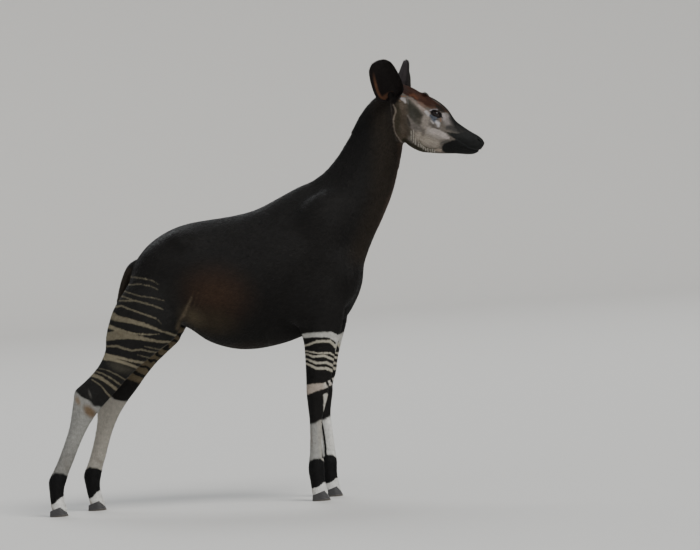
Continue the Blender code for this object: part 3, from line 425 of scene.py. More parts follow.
# Soft patches of colour on the trunk: centre, radii, tilt, how soft, how strong and the colour.
TRUNK_PATCHES = [
    ((-0.430, 1.000), (0.260, 0.210), -10, 1.0, 0.75, (0.058, 0.031, 0.018)),
    ((-0.470, 0.880), (0.200, 0.110), -15, 1.0, 0.70, (0.048, 0.036, 0.021)),
    ((-0.560, 0.905), (0.100, 0.070), -30, 1.0, 0.70, (0.100, 0.078, 0.048)),
    ((-0.300, 0.735), (0.300, 0.050), 0, 1.0, 0.50, (0.034, 0.024, 0.017)),
]

# The tan skin along the flank's fold, and the fine wrinkles that rise from it.
FLANK_FOLD = [(-0.636, 0.850, 0.008), (-0.628, 0.884, 0.007), (-0.600, 0.918, 0.008), (-0.573, 0.962, 0.004),
              (-0.548, 1.000, 0.001)]
FLANK_WRINKLES = [
    [(-0.588, 0.925, 0.001), (-0.556, 0.972, 0.002), (-0.535, 1.030, 0.001)],
    [(-0.575, 0.915, 0.001), (-0.538, 0.965, 0.002), (-0.512, 1.025, 0.001)],
    [(-0.560, 0.905, 0.001), (-0.519, 0.952, 0.002), (-0.490, 1.005, 0.001)],
    [(-0.590, 0.885, 0.001), (-0.540, 0.890, 0.002), (-0.490, 0.885, 0.001)],
]

# The brown along the middle of the neck, and the brownish front of the throat.
NECK_LINE = [(0.420, 1.860, 0.050), (0.450, 1.700, 0.060), (0.400, 1.400, 0.060), (0.280, 1.150, 0.050)]
THROAT_LINE = [(0.509, 1.670, 0.010), (0.513, 1.640, 0.014), (0.498, 1.560, 0.014), (0.462, 1.450, 0.015),
               (0.412, 1.350, 0.014), (0.350, 1.220, 0.010)]

# The middle of the tail's dock and its half-width as painted.
DOCK_LINE = [(-0.820, 1.178), (-0.860, 1.155), (-0.895, 1.098), (-0.919, 1.037), (-0.938, 0.968),
             (-0.949, 0.905)]
DOCK_HALF_WIDTH = 0.024

# Upper edges of the marks on a hindleg, and the dark line that splits one of the thigh's bands.
HOCK_BLACK_EDGE = [(-1.30, 0.585), (-1.16, 0.660), (-1.05, 0.640), (-0.90, 0.560)]
HOCK_LINE = [(-1.200, 0.584), (-1.170, 0.578), (-1.140, 0.562), (-1.117, 0.541), (-1.090, 0.520),
             (-1.065, 0.503), (-1.045, 0.494), (-1.025, 0.492), (-1.000, 0.500), (-0.975, 0.512),
             (-0.900, 0.520)]
HIND_FETLOCK_EDGE = [(-1.350, 0.138), (-1.322, 0.168), (-1.285, 0.186), (-1.248, 0.180), (-1.222, 0.158),
                     (-1.200, 0.128)]
HIND_PASTERN_EDGE = [(-1.345, 0.020), (-1.300, 0.036), (-1.270, 0.062), (-1.235, 0.078)]
BAND_SPLIT = [(-0.760, 0.880, 0.0022), (-0.690, 0.842, 0.0026)]

# Marks of a foreleg: the pale band over the knee with its dark front edge, the white drop on the
# knee, the upper edges of the cannon, fetlock and pastern, the cannon's black line, and a black line of
# painted shade between the forelegs on the inner face.
KNEE_BAND = [(-0.100, 0.505, 0.024), (-0.028, 0.512, 0.024), (0.015, 0.523, 0.019), (0.060, 0.528, 0.013),
             (0.110, 0.545, 0.016)]
KNEE_FRONT = [(0.072, 0.545, 0.006), (0.080, 0.520, 0.005)]
KNEE_DROP = [(0.062, 0.478, 0.0115), (0.060, 0.462, 0.0095), (0.052, 0.430, 0.0050), (0.046, 0.395, 0.0020)]
FORE_CANNON_EDGE = [(-0.050, 0.340), (0.0, 0.348), (0.030, 0.360), (0.070, 0.372)]
FORE_FETLOCK_EDGE = [(-0.060, 0.135), (-0.038, 0.164), (-0.012, 0.178), (0.014, 0.175), (0.034, 0.153),
                     (0.050, 0.125)]
FORE_PASTERN_EDGE = [(-0.045, 0.030), (0.000, 0.040), (0.022, 0.058), (0.045, 0.062)]
SHIN_LINE = [(0.036, 0.380, 0.0030), (0.030, 0.300, 0.0030), (0.026, 0.180, 0.0040)]
LEG_GAP_SHADE = [(-0.014, 0.345, 0.005), (-0.016, 0.270, 0.005), (-0.019, 0.171, 0.006)]

# The face's rear edge and its lower one behind the jaw, both in side view.
FACE_CUT = [(0.478, 1.900), (0.489, 1.700)]
JAW_EDGE = [(0.400, 1.690), (0.497, 1.688), (0.520, 1.668), (0.545, 1.640), (0.600, 1.560)]

# Strokes of the face in the order they are laid, read off the photo: each point and half the
# width there in the photo's pixels, then the softness of the edge, the strength and the colour.
FACE_STROKES = [
    ([(396, 96, 5), (394, 110, 5), (393, 125, 5), (394, 140, 5), (398, 150, 5)],
     3, 0.97, (0.018, 0.013, 0.010)),
    ([(401, 104, 5), (401, 116, 5.5), (401, 126, 5.5), (403.5, 137, 4.5)], 4, 0.97, (0.088, 0.066, 0.046)),
    ([(405, 104, 4), (406, 112, 4.2), (407.5, 122, 4.5), (410, 132, 4)], 3.5, 0.92, (0.092, 0.072, 0.054)),
    ([(398.5, 100, 3), (398, 112, 3.2), (397.5, 122, 3.2), (399, 134, 2.6)],
     2.5, 0.95, (0.066, 0.054, 0.037)),
    ([(401, 105, 2.5), (402, 108, 2.5)], 3, 0.70, (0.150, 0.118, 0.088)),
    ([(402, 126, 2.5), (403, 131, 2.5)], 4, 0.70, (0.135, 0.108, 0.085)),
    ([(412, 116, 3), (414, 124, 5), (418, 130, 5)], 5, 0.90, (0.190, 0.170, 0.152)),
    ([(418, 136, 4.4), (426, 140, 5), (435, 143, 4.8)], 7, 0.95, (0.450, 0.395, 0.335)),
    ([(426, 117, 3.5), (424.5, 122, 4), (426, 128, 3)], 4, 0.90, (0.300, 0.262, 0.230)),
    ([(429, 131, 3.6), (436, 134, 4.2), (442, 136.5, 3)], 6, 0.90, (0.480, 0.430, 0.390)),
    ([(431.5, 131, 2.2), (438, 132.3, 2.6), (444.5, 136, 2.6), (448, 138, 1.4)],
     2.2, 0.95, (0.550, 0.490, 0.460)),
    ([(424, 130, 1.8), (422.5, 135, 1.6)], 3, 0.55, (0.150, 0.125, 0.105)),
    ([(408, 115.5, 1.1), (411.5, 120.5, 1.2)], 1.5, 0.90, (0.230, 0.200, 0.180)),
    ([(411.5, 124.5, 1), (413, 130, 1.2)], 2, 0.80, (0.240, 0.205, 0.185)),
    ([(407.6, 119.5, 1), (409.7, 124.8, 1.3)], 1.8, 0.95, (0.062, 0.053, 0.046)),
    ([(445.5, 116, 3.5), (447.5, 122, 3.5)], 3.5, 0.90, (0.300, 0.275, 0.265)),
    ([(443, 114.8, 1.6), (444.5, 118.5, 1.8)], 1.8, 0.90, (0.410, 0.370, 0.360)),
    ([(451, 118.5, 2.2), (452.5, 123, 2.5)], 3, 0.90, (0.100, 0.092, 0.088)),
    ([(447.5, 127.5, 2), (452, 128, 3), (457, 130, 3.5)], 4, 0.92, (0.052, 0.050, 0.048)),
    ([(452.5, 117.5, 2), (457, 123, 4.4), (462, 128.5, 5.8), (470, 135, 6.5), (478, 141, 6.5)],
     4, 0.98, (0.009, 0.009, 0.009)),
    ([(449, 113.8, 0.7), (454, 118, 1.2), (461, 124.5, 1.5), (469, 131.5, 1.8), (477, 138, 2)],
     2.4, 0.95, (0.012, 0.012, 0.011)),
    ([(402, 86, 3.5), (407, 90, 5), (414, 93, 5), (424, 99, 5.5), (433, 105, 4), (440, 108, 2.8),
      (447, 111.5, 1)], 1.6, 1.00, (0.046, 0.016, 0.009)),
    ([(404, 87, 3), (406, 91, 2.5)], 3, 0.80, (0.036, 0.020, 0.016)),
    ([(410.5, 95.5, 0.9), (413.5, 95, 1.4), (417, 98, 1.2)], 3.6, 0.85, (0.170, 0.066, 0.033)),
    ([(419, 96, 1.5), (424, 99, 1.8)], 3, 0.70, (0.085, 0.034, 0.019)),
    ([(418, 102, 0.8), (421.5, 104.3, 1.5), (424.5, 107, 1)], 3.2, 0.85, (0.230, 0.135, 0.100)),
    ([(426, 106.5, 1), (430, 107.8, 0.9), (435.5, 107.5, 0.8)], 2.2, 0.75, (0.120, 0.066, 0.042)),
    ([(432, 103.5, 1.2), (436, 106, 1.2)], 2, 0.60, (0.058, 0.031, 0.021)),
    ([(422, 93.5, 0.6), (428, 94.5, 1.1), (436, 100, 1.1), (444, 106.5, 1.1), (448.5, 111.5, 0.9)],
     2.4, 0.95, (0.010, 0.006, 0.005)),
    ([(437, 106.5, 1.4), (440, 108.7, 2.3), (443.5, 111.2, 1.3)], 1.8, 0.95, (0.020, 0.017, 0.013)),
    ([(445, 111.2, 0.8), (448.5, 113, 0.8)], 1.3, 0.80, (0.100, 0.064, 0.040)),
    ([(408.3, 98, 0.9), (412, 99.8, 1.2), (415.5, 103, 1.4), (419, 106.5, 1.5)],
     1.6, 0.92, (0.260, 0.212, 0.185)),
    ([(418.5, 106, 1.2), (421.5, 108.5, 1.6), (425, 111, 1.8), (428, 113, 1.6)],
     1.8, 0.92, (0.390, 0.320, 0.285)),
    ([(426, 112, 1.5), (428.8, 114.5, 1.4)], 1.6, 0.85, (0.470, 0.450, 0.455)),
    ([(409, 102, 1.5), (411, 108, 4.2), (414, 113.5, 6), (417, 118, 5.2), (418.5, 122, 3)],
     5.5, 0.85, (0.066, 0.058, 0.045)),
    ([(408.4, 100.5, 0.7), (409.3, 104, 2), (411.3, 108, 3.8), (414.3, 111.8, 4.8), (418, 114.6, 3.4),
      (421.5, 115.8, 1.4)], 5, 0.95, (0.040, 0.037, 0.028)),
    ([(411.5, 113, 2.4), (414.5, 118.5, 2.2)], 3.5, 0.75, (0.066, 0.062, 0.053)),
    ([(407.6, 98, 0.5), (407.9, 104, 0.5)], 1, 0.80, (0.130, 0.130, 0.120)),
    ([(401, 98.2, 1), (404, 99.6, 1.7), (405.3, 102.3, 0.9)], 2.2, 0.90, (0.520, 0.485, 0.480)),
    ([(399, 96.4, 0.35), (406, 96.3, 0.35)], 0.8, 0.90, (0.300, 0.145, 0.075)),
    ([(397, 99.5, 0.8), (400.5, 101, 0.8)], 1.5, 0.80, (0.250, 0.170, 0.120)),
    ([(398, 106, 1.2), (399, 113, 1.4), (397.5, 120, 1.5), (397, 128, 1.2)],
     2, 0.60, (0.050, 0.043, 0.028)),
    ([(391.8, 101, 0.4), (393.5, 105, 0.6), (395.4, 109, 0.9), (395.8, 112, 0.9), (394.2, 116, 0.7),
      (393.4, 120, 0.8), (393.5, 126, 0.8), (394.5, 131, 0.6), (397, 136, 0.5), (401, 141.5, 0.4)],
     0.9, 0.95, (0.250, 0.205, 0.165)),
    ([(389, 108, 0.8), (389.5, 118, 1.4), (389.3, 128, 1.2), (391.5, 137, 0.8)],
     3, 0.80, (0.066, 0.036, 0.024)),
    ([(391.9, 111, 0.4), (392.1, 118, 0.4)], 0.8, 0.90, (0.020, 0.012, 0.008)),
    ([(389.3, 91, 1.5), (391, 96, 2.6), (393, 101, 3.2)], 1.5, 0.98, (0.011, 0.009, 0.009)),
    ([(384, 98.5, 3), (390, 101, 3.4), (396, 99.5, 2.8), (399.5, 97, 1.4)], 2, 0.97, (0.015, 0.011, 0.010)),
    ([(424.5, 94.5, 1), (427.5, 94.3, 1.4), (430, 96, 0.8)], 1.6, 0.90, (0.012, 0.009, 0.008)),
    ([(431, 116, 1.5), (433.8, 118.4, 2.6), (434.8, 121, 1.6)], 1.6, 0.95, (0.118, 0.136, 0.168)),
    ([(436, 117.6, 1), (438.8, 117.3, 0.5)], 1, 0.90, (0.140, 0.160, 0.195)),
    ([(430.6, 120.5, 0.6), (433.3, 123.2, 0.9)], 1.4, 0.80, (0.430, 0.400, 0.390)),
    ([(436.3, 122.3, 1.1), (438.3, 123.8, 1.6), (438.3, 126, 1)], 3.2, 0.85, (0.800, 0.770, 0.790)),
    # Painted shade along the crease under the eye.
    ([(432.3, 127.2, 0.35), (435, 127.5, 0.5), (438.2, 129, 0.35)], 0.8, 0.90, (0.085, 0.075, 0.062)),
    ([(440.2, 117.6, 0.5), (440.8, 121, 0.5)], 0.8, 0.90, (0.280, 0.150, 0.095)),
    ([(429.3, 110.9, 0.35), (433, 109.2, 0.5), (437.2, 109.5, 0.4)], 0.7, 0.90, (0.380, 0.355, 0.375)),
    ([(446.8, 126.8, 0.3), (447.1, 127.1, 0.3)], 0.6, 0.80, (0.060, 0.060, 0.062)),
    ([(448.6, 125.9, 0.35), (448.9, 126.2, 0.35)], 0.6, 0.80, (0.050, 0.050, 0.052)),
    ([(450.3, 127.6, 0.3), (450.5, 127.9, 0.3)], 0.6, 0.80, (0.055, 0.055, 0.056)),
    ([(404, 140, 2), (408.5, 143, 2), (415.5, 147.3, 2), (424, 151, 1.6), (434, 152.6, 1.2)],
     2.8, 0.96, (0.026, 0.024, 0.013)),
    ([(419.3, 140, 0.3), (422.3, 144.5, 0.45), (426.5, 147.5, 0.45), (432, 149.1, 0.4), (437.5, 148.2, 0.3)],
     0.9, 0.85, (0.098, 0.090, 0.052)),
    ([(436, 149.8, 1), (440.3, 150.3, 1.5)], 1.3, 0.90, (0.420, 0.345, 0.285)),
    ([(441, 143.5, 1), (445, 141.5, 1.2), (448.5, 140.5, 0.8)], 2.5, 0.80, (0.100, 0.098, 0.090)),
    ([(447.4, 132.7, 0.7), (450, 133.9, 1.6), (454, 135.5, 2.2)], 1.3, 0.97, (0.024, 0.025, 0.021)),
]
# The black of the muzzle, a thin painted sheen along the upper lip's edge, and the ends of the fine folds
# under the jaw, each fold drawn as a pale line of painted highlight beside a dark line of painted shade.
MUZZLE = [(452, 134.6, 1.6), (457, 136.8, 3.6), (464, 138.8, 7.2), (473, 142.5, 8.5), (480, 145, 7)]
MUZZLE_UNDER = [(447.2, 147.8, 5.2), (453, 146.8, 6.6), (460, 147, 8), (470, 148, 8), (480, 149, 6)]
LIP_SHEEN = [(456, 139.2, 0.4), (463, 143.8, 0.5), (470, 148.2, 0.5), (478, 150.3, 0.4)]
# Pale lines of painted highlight on the folds.
FOLD_HIGHLIGHTS = [
    ((411.2, 131), (411.3, 140)), ((413.4, 130), (413.5, 142)), ((415.4, 138.5), (415.5, 144)),
    ((418.6, 142.5), (418.4, 146.2)), ((420.6, 143.5), (421.3, 147.2)), ((422.7, 145.3), (423.4, 149)),
    ((424.9, 147), (425.8, 150.4)), ((427.6, 148.2), (428.2, 151.2)), ((430.3, 149.2), (430.6, 152)),
    ((432.3, 149.6), (432.6, 152.2)), ((434.2, 149.4), (434.6, 152.4)),
]
# Dark lines of painted shade beside them.
FOLD_SHADES = [
    ((409.9, 131.5), (410.1, 139)), ((412.3, 131), (412.4, 141)), ((414.5, 134), (414.6, 143)),
    ((417, 141), (417, 145.5)), ((419.6, 143.5), (419.9, 147)), ((421.8, 144.8), (422.4, 148.2)),
    ((424, 146.3), (424.6, 149.8)), ((426.4, 147.8), (427, 151)), ((429, 149), (429.4, 151.8)),
    ((431.3, 149.6), (431.6, 152.2)), ((433.3, 149.8), (433.6, 152.4)),
]


def smoothstep(t):
    t = np.clip(t, 0.0, 1.0)
    return t * t * (3 - 2 * t)


def falloff(distance):
    """1 at the centre, 0 from a distance of 1 on."""
    return np.clip(1 - distance**2, 0, 1) ** 2


def unit(v):
    return np.array(v, float) / np.linalg.norm(v)


def catmull_rom(rows, count, spaced_by):
    """count rows on a smooth curve through the given rows, evenly spread over the named columns."""
    rows = np.array(rows, float)
    steps = np.linalg.norm(np.diff(rows[:, :spaced_by], axis=0), axis=1)
    along = np.concatenate([[0], np.cumsum(steps)])
    padded = np.vstack([2 * rows[0] - rows[1], rows, 2 * rows[-1] - rows[-2]])
    made = []
    for d in np.linspace(0, along[-1], count):
        i = min(int(np.searchsorted(along, d, side="right")) - 1, len(rows) - 2)
        t = (d - along[i]) / steps[i]
        p0, p1, p2, p3 = padded[i : i + 4]
        linear = (p2 - p0) * t
        square = (2 * p0 - 5 * p1 + 4 * p2 - p3) * t**2
        cube = (3 * p1 - p0 - 3 * p2 + p3) * t**3
        made.append(0.5 * (2 * p1 + linear + square + cube))
    return np.array(made)


def ring(row, sides, side):
    """One closed section, whose half-width goes from wb at its second point to wa at its first."""
    ax, az, bx, bz, y, wa, wm, wb, square = row
    angle = np.arange(sides) * 2 * math.pi / sides
    s, c = np.sin(angle), np.cos(angle)
    h = (1 + s) / 2
    low = wb + (wm - wb) * smoothstep(2 * h)
    high = wm + (wa - wm) * smoothstep(2 * h - 1)
    across = np.where(h < 0.5, low, high) * np.sign(c) * np.abs(c) ** (2 / square)
    share = np.sign(s) * np.abs(s) ** (2 / square)
    x = (ax + bx) / 2 + (ax - bx) / 2 * share
    z = (az + bz) / 2 + (az - bz) / 2 * share
    return np.stack([x, side * y + across, z], axis=1)


def band_faces(rings, sides, first=0):
    """Faces between neighbouring rings of points."""
    faces = []
    for r in range(rings - 1):
        for i in range(sides):
            low, high, j = first + r * sides, first + (r + 1) * sides, (i + 1) % sides
            faces.append((low + i, low + j, high + j, high + i))
    return faces


def tube_faces(rings, sides):
    """Faces of a tube of rings, with both ends closed."""
    ends = [tuple(range(sides))[::-1], tuple((rings - 1) * sides + i for i in range(sides))]
    return band_faces(rings, sides) + ends


def loft(sections, rings, sides, side=1, shift=None):
    rows = catmull_rom(sections, rings, 4)
    points = np.vstack([ring(row, sides, side) for row in rows])
    if shift is not None:
        points[:, 0] += shift(points[:, 2])
    return points, tube_faces(rings, sides)


def ellipsoid(centre, radii, tilt, side, segments=24, rows=14):
    bm = bmesh.new()
    bmesh.ops.create_uvsphere(bm, u_segments=segments, v_segments=rows, radius=1.0)
    turn = Matrix.Rotation(math.radians(tilt), 4, "Y")
    place = Matrix.Translation((centre[0], side * centre[1], centre[2]))
    bm.transform(place @ turn @ Matrix.Diagonal((*radii, 1.0)))
    points = np.array([v.co for v in bm.verts])
    faces = [tuple(v.index for v in f.verts) for f in bm.faces]
    bm.free()
    return points, faces


def fore_shift(z):
    low, high = FORE_STRIDE_RANGE
    return FORE_STRIDE * smoothstep((high - z) / (high - low))


def hind_shift(z):
    return HIND_STRIDE * np.clip(1 - z / STIFLE_HEIGHT, 0, 1) ** 0.6


def merged(shapes):
    points, faces, first = [], [], 0
    for p, f in shapes:
        points.append(p)
        faces += [tuple(first + i for i in face) for face in f]
        first += len(p)
    return np.vstack(points), faces


def body_shapes():
    shapes = [loft(TORSO, 60, 40), loft(NECK, 40, 36), loft(HEAD[:4], 20, 36)]
    for side in SIDES.values():
        ahead = side > 0
        shapes.append(loft(FORELEG, 90, 24, side, fore_shift if ahead else None))
        shapes.append(loft(HINDLEG, 110, 24, side, hind_shift if ahead else None))
    for centre, radii, tilt in MUSCLES.values():
        for side in SIDES.values() if centre[1] else (1,):
            shapes.append(ellipsoid(centre, radii, tilt, side))
    return shapes


def linked(name, data):
    obj = bpy.data.objects.new(name, data)
    bpy.context.scene.collection.objects.link(obj)
    return obj


def mesh_object(name, points, faces):
    mesh = bpy.data.meshes.new(name)
    mesh.from_pydata([tuple(p) for p in points], [], faces)
    bm = bmesh.new()
    bm.from_mesh(mesh)
    bmesh.ops.recalc_face_normals(bm, faces=bm.faces)
    bm.to_mesh(mesh)
    bm.free()
    return linked(name, mesh)


def removed(obj):
    mesh = obj.data
    bpy.data.objects.remove(obj)
    bpy.data.meshes.remove(mesh)


def apply_modifiers(obj):
    graph = bpy.context.evaluated_depsgraph_get()
    mesh = bpy.data.meshes.new_from_object(obj.evaluated_get(graph))
    obj.modifiers.clear()
    old = obj.data
    obj.data = mesh
    bpy.data.meshes.remove(old)


def fuse(obj, voxel):
    """Makes the overlapping shells of obj one closed skin of even small faces."""
    remesh = obj.modifiers.new("fuse", "REMESH")
    remesh.mode = "VOXEL"
    remesh.voxel_size = voxel
    apply_modifiers(obj)


def values(things, name, width=1, kind=np.int64):
    """One property of everything in a mesh's list, as an array with a row for each."""
    flat = np.empty(len(things) * width, kind)
    things.foreach_get(name, flat)
    return flat.reshape(-1, width) if width > 1 else flat


def places(mesh):
    return values(mesh.vertices, "co", 3, float)


def normals(mesh):
    return values(mesh.vertex_normals, "vector", 3, float)


def put(mesh, co):
    mesh.vertices.foreach_set("co", np.asarray(co, np.float32).ravel())
    mesh.update()


def mirrored(co):
    """The same points with those on the right side carried over to the left."""
    return co * np.where(co[:, 1:2] < 0, (1, -1, 1), (1, 1, 1))


def relax(mesh, rounds, weight=1.0, swell=0.52):
    """Smooths the mesh and swells it back after each round, so that thin legs keep their girth."""
    co = places(mesh)
    a, b = edge_ends(mesh)
    count = np.bincount(np.concatenate([a, b]), minlength=len(co))[:, None]
    for _ in range(rounds):
        for factor in (0.5 * weight, -swell * weight):
            sums = [np.bincount(a, co[b, k], len(co)) + np.bincount(b, co[a, k], len(co)) for k in range(3)]
            co = co + factor * (np.stack(sums, axis=1) / count - co)
    put(mesh, co)


def trunk_share(co):
    """1 on the trunk, less on the neck, 0 on the legs: how much the muscle forms are blended there."""
    height = smoothstep((co[:, 2] - 0.80) / 0.18)
    along_neck = smoothstep((co - TURN_START) @ TURN_WAY / TURN_LENGTH + 0.5)
    return (height * (1 - 0.7 * along_neck))[:, None]


def brush(mesh, centre, radii, amount):
    """Raises the skin round centre, on both sides, along its normal."""
    co = places(mesh)
    distance = np.linalg.norm((mirrored(co) - np.array(centre)) / np.array(radii), axis=1)
    put(mesh, co + normals(mesh) * (amount * falloff(distance))[:, None])


def distance_to_line(co, line):
    """How far each point is from a line in side view, and its share of the way along the line."""
    best = np.full(len(co), 1e9)
    where = np.zeros(len(co))
    line = np.array(line)
    flat = co[:, [0, 2]]
    for i in range(len(line) - 1):
        start, way = line[i], line[i + 1] - line[i]
        t = np.clip((flat - start) @ way / (way @ way), 0, 1)
        d = np.linalg.norm(flat - start - t[:, None] * way, axis=1)
        near = d < best
        best[near] = d[near]
        where[near] = (i + t[near]) / (len(line) - 1)
    return best, where


def groove(mesh, line, width, depth):
    """A valley in the skin along a line in side view, which fades out at the line's rear end."""
    co = places(mesh)
    distance, where = distance_to_line(co, line)
    amount = depth * falloff(distance / width) * smoothstep((1 - where) / 0.3)
    put(mesh, co - normals(mesh) * amount[:, None])


def eye_axes():
    """The eye's own directions: along its lids, across them, and out of the head."""
    out = Vector(EYE_OUTWARD).normalized()
    along = Vector((math.cos(EYE_SLANT), 0.0, -math.sin(EYE_SLANT)))
    along = (along - out * along.dot(out)).normalized()
    return along, out.cross(along) * -1, out


def eye_place(side):
    """How far points of the left side are from the eye's middle, along, across and out."""
    rel = side - np.array(EYE_CENTRE)
    return (rel @ np.array(way) for way in eye_axes())


def shape_lids(mesh):
    """Draws the skin round the eye, in and out of the head, onto a shell just proud of the eyeball."""
    co = places(mesh)
    side = mirrored(co)
    u, v, w = eye_place(side)
    almond = np.hypot(u / EYE_HALF_LENGTH, v / EYE_HALF_HEIGHT)
    start, end = LID_SPREAD
    weight = (1 - smoothstep((almond - start) / (end - start))) * (w > 0)
    shell = EYE_RADIUS + LID_THICKNESS
    under = shell**2 - u**2 - v**2
    target = np.sqrt(np.maximum(under, (LID_FLOOR * shell) ** 2))
    cover = np.sqrt(np.maximum(under, 0)) * (w > 0)
    risen = np.maximum(w + weight * (target - w), cover)
    shifted = side + np.where(w > 0, risen - w, 0)[:, None] * np.array(eye_axes()[2])
    put(mesh, np.where(co[:, 1:2] < 0, (1, -1, 1), (1, 1, 1)) * shifted)


def foot_place(kind, side):
    """Where the middle of a foot's sole is."""
    x, y = FORE_FOOT if kind == "fore" else HIND_FOOT
    stride = FORE_STRIDE if kind == "fore" else HIND_STRIDE
    return x + (stride if side > 0 else 0.0), side * y


def coronet(x, middle):
    """Height of the hoof's upper edge over its sole, which falls towards the heel."""
    return HOOF_HEIGHT + (x - middle) * CORONET_SLOPE


def ear_root(name):
    """The swelling of the head that carries an ear."""
    base, axis, opening = EAR_POSES[name]
    centre = np.array(base) + EAR_ROOT_LIFT * unit(axis) - EAR_ROOT_DEPTH * unit(opening)
    return ellipsoid(centre, EAR_ROOT_RADII, 0, 1)


def side_view(co):
    """Each point as if on the right side, with the left legs drawn back to where the right ones are."""
    x, y, z = co.T
    left = y > 0
    fore = left & (x > -0.35) & (z < FORE_STRIDE_RANGE[1])
    hind = left & (x < -0.45) & (z < STIFLE_HEIGHT)
    x = x - np.where(fore, fore_shift(z), 0) - np.where(hind, hind_shift(z), 0)
    return np.stack([x, -np.abs(y), z], axis=1)


def moved(q, x, z):
    """The points moved by x and z in side view."""
    return np.stack([q[:, 0] + x, q[:, 1], q[:, 2] + z], axis=1)


def camera_axes():
    """The picture's right and up and the way back to the camera."""
    yaw, rise, roll = (math.radians(a) for a in (CAMERA_YAW, CAMERA_RISE, CAMERA_ROLL))
    back = Vector((math.sin(yaw) * math.cos(rise), -math.cos(yaw) * math.cos(rise), math.sin(rise)))
    right = Vector((math.cos(yaw), math.sin(yaw), 0.0))
    up = back.cross(right)
    return right * math.cos(roll) - up * math.sin(roll), right * math.sin(roll) + up * math.cos(roll), back


def photo_place(q):
    """Where the photo shows each point of the right side: its pixels across and down for x and z."""
    right, up, back = (np.array(way) for way in camera_axes())
    away = turned(q) - np.array(CAMERA_TARGET)
    scale = PIXELS_PER_METRE * CAMERA_DISTANCE / (CAMERA_DISTANCE - away @ back)
    across = IMAGE_WIDTH / 2 + scale * (away @ right)
    down = IMAGE_HEIGHT / 2 - scale * (away @ up)
    return np.stack([across, np.zeros(len(q)), down], axis=1)


def from_enlargement(line):
    """A thigh line's points and half-widths in the photo's own pixels."""
    return [(THIGH_CORNER[0] + x / THIGH_SCALE, THIGH_CORNER[1] + y / THIGH_SCALE, half / THIGH_SCALE)
            for x, y, half in line]


def ripple(co, size, seed):
    """Smooth irregular waves between about -1 and 1, each about size across."""
    random = np.random.default_rng(seed)
    total = np.zeros(len(co))
    for _ in range(7):
        way = unit(random.normal(size=3)) * (2 * math.pi / size) * random.uniform(0.6, 1.5)
        total += np.sin(co @ way + random.uniform(0, 2 * math.pi))
    return total / 3.2


def stroke(co, line, soft):
    """1 within each point's own half-width of a line in side view, fading to 0 over the length soft."""
    line = np.array(line)
    distance, where = distance_to_line(co, line[:, :2])
    width = np.interp(where * (len(line) - 1), np.arange(len(line)), line[:, 2])
    return smoothstep(0.5 + (width - distance) / soft)


def spot(co, centre, radii, tilt=0.0, soft=0.5):
    """1 inside an ellipse in side view, fading to 0 over the outer part of it."""
    x, z = co[:, 0] - centre[0], co[:, 2] - centre[1]
    c, s = math.cos(math.radians(tilt)), math.sin(math.radians(tilt))
    away = np.hypot((x * c + z * s) / radii[0], (z * c - x * s) / radii[1])
    return smoothstep((1 - away) / soft)


def below(co, line, soft):
    """1 under a line in side view, fading to 0 above it."""
    line = np.array(line)
    level = np.interp(co[:, 0], line[:, 0], line[:, 1])
    return smoothstep(0.5 + (level - co[:, 2]) / soft)


def paint(colours, mask, colour):
    colours += mask[:, None] * (np.array(colour) - colours)


def widest(line):
    return max(half_width for _, _, half_width in line)


def paint_trunk(colours, q, wave):
    paint(colours, 0.60 * stroke(q, NECK_LINE, 0.100), (0.030, 0.022, 0.015))
    paint(colours, 0.75 * stroke(q, THROAT_LINE, 0.035), (0.095, 0.062, 0.045))
    for centre, radii, tilt, soft, share, colour in TRUNK_PATCHES:
        paint(colours, share * spot(q, centre, radii, tilt, soft), colour)
    paint(colours, (0.75 + 0.25 * wave) * stroke(q, FLANK_FOLD, 0.018), (0.170, 0.132, 0.086))
    for line in FLANK_WRINKLES:
        paint(colours, 0.35 * stroke(q, line, 0.012), (0.085, 0.055, 0.034))


def paint_inner_thigh(colours, q, inner, wave):
    """A tan ground with slanted dark bars on the inner side."""
    thigh = smoothstep((1.13 - q[:, 2]) / 0.10) * smoothstep((-0.56 - q[:, 0]) / 0.08)
    paint(colours, 0.30 * thigh, (0.026, 0.026, 0.025))
    inside = inner * thigh * smoothstep((q[:, 2] - 0.53) / 0.04)
    paint(colours, inside, (0.150, 0.118, 0.072))
    bars = np.sin((q[:, 2] * 0.78 + q[:, 0] * 0.62) * 2 * math.pi / 0.052 + 1.2 * wave)
    paint(colours, inside * smoothstep(bars * 2 - 0.3), DARK)


def paint_thigh_lines(colours, q, outer, wave):
    """The wide lines are a little lighter than the thin ones, and none is quite like the next."""
    photo = photo_place(q)
    paint(colours, 0.7 * outer * spot(q, (-0.925, 0.680), (0.100, 0.036), -25, 0.8), (0.075, 0.068, 0.052))
    for number, line in enumerate(THIGH_LINES):
        wide = widest(line) > WIDE_THIGH_LINE
        finer = np.array(from_enlargement(line)) * (1, 1, 1 if wide else THIN_LINE_SHARE)
        shade = np.array(CREAM if wide else THIN_CREAM) * (1 + 0.12 * math.sin(3.0 * number))
        paint(colours, outer * stroke(photo, finer, 0.82), shade)
    paint(colours, 0.9 * outer * stroke(q, BAND_SPLIT, 0.004), DARK)
    paint(colours, 0.8 * outer * spot(q, (-0.985, 0.868), (0.030, 0.008), -8, 0.6), DARK)
    for centre, radii in (((-0.860, 0.915), (0.070, 0.010)), ((-0.900, 0.838), (0.070, 0.012))):
        shadow = 0.30 * outer * spot(q, centre, radii, -12, 0.9)
        paint(colours, shadow * (0.5 + wave), (0.120, 0.095, 0.062))


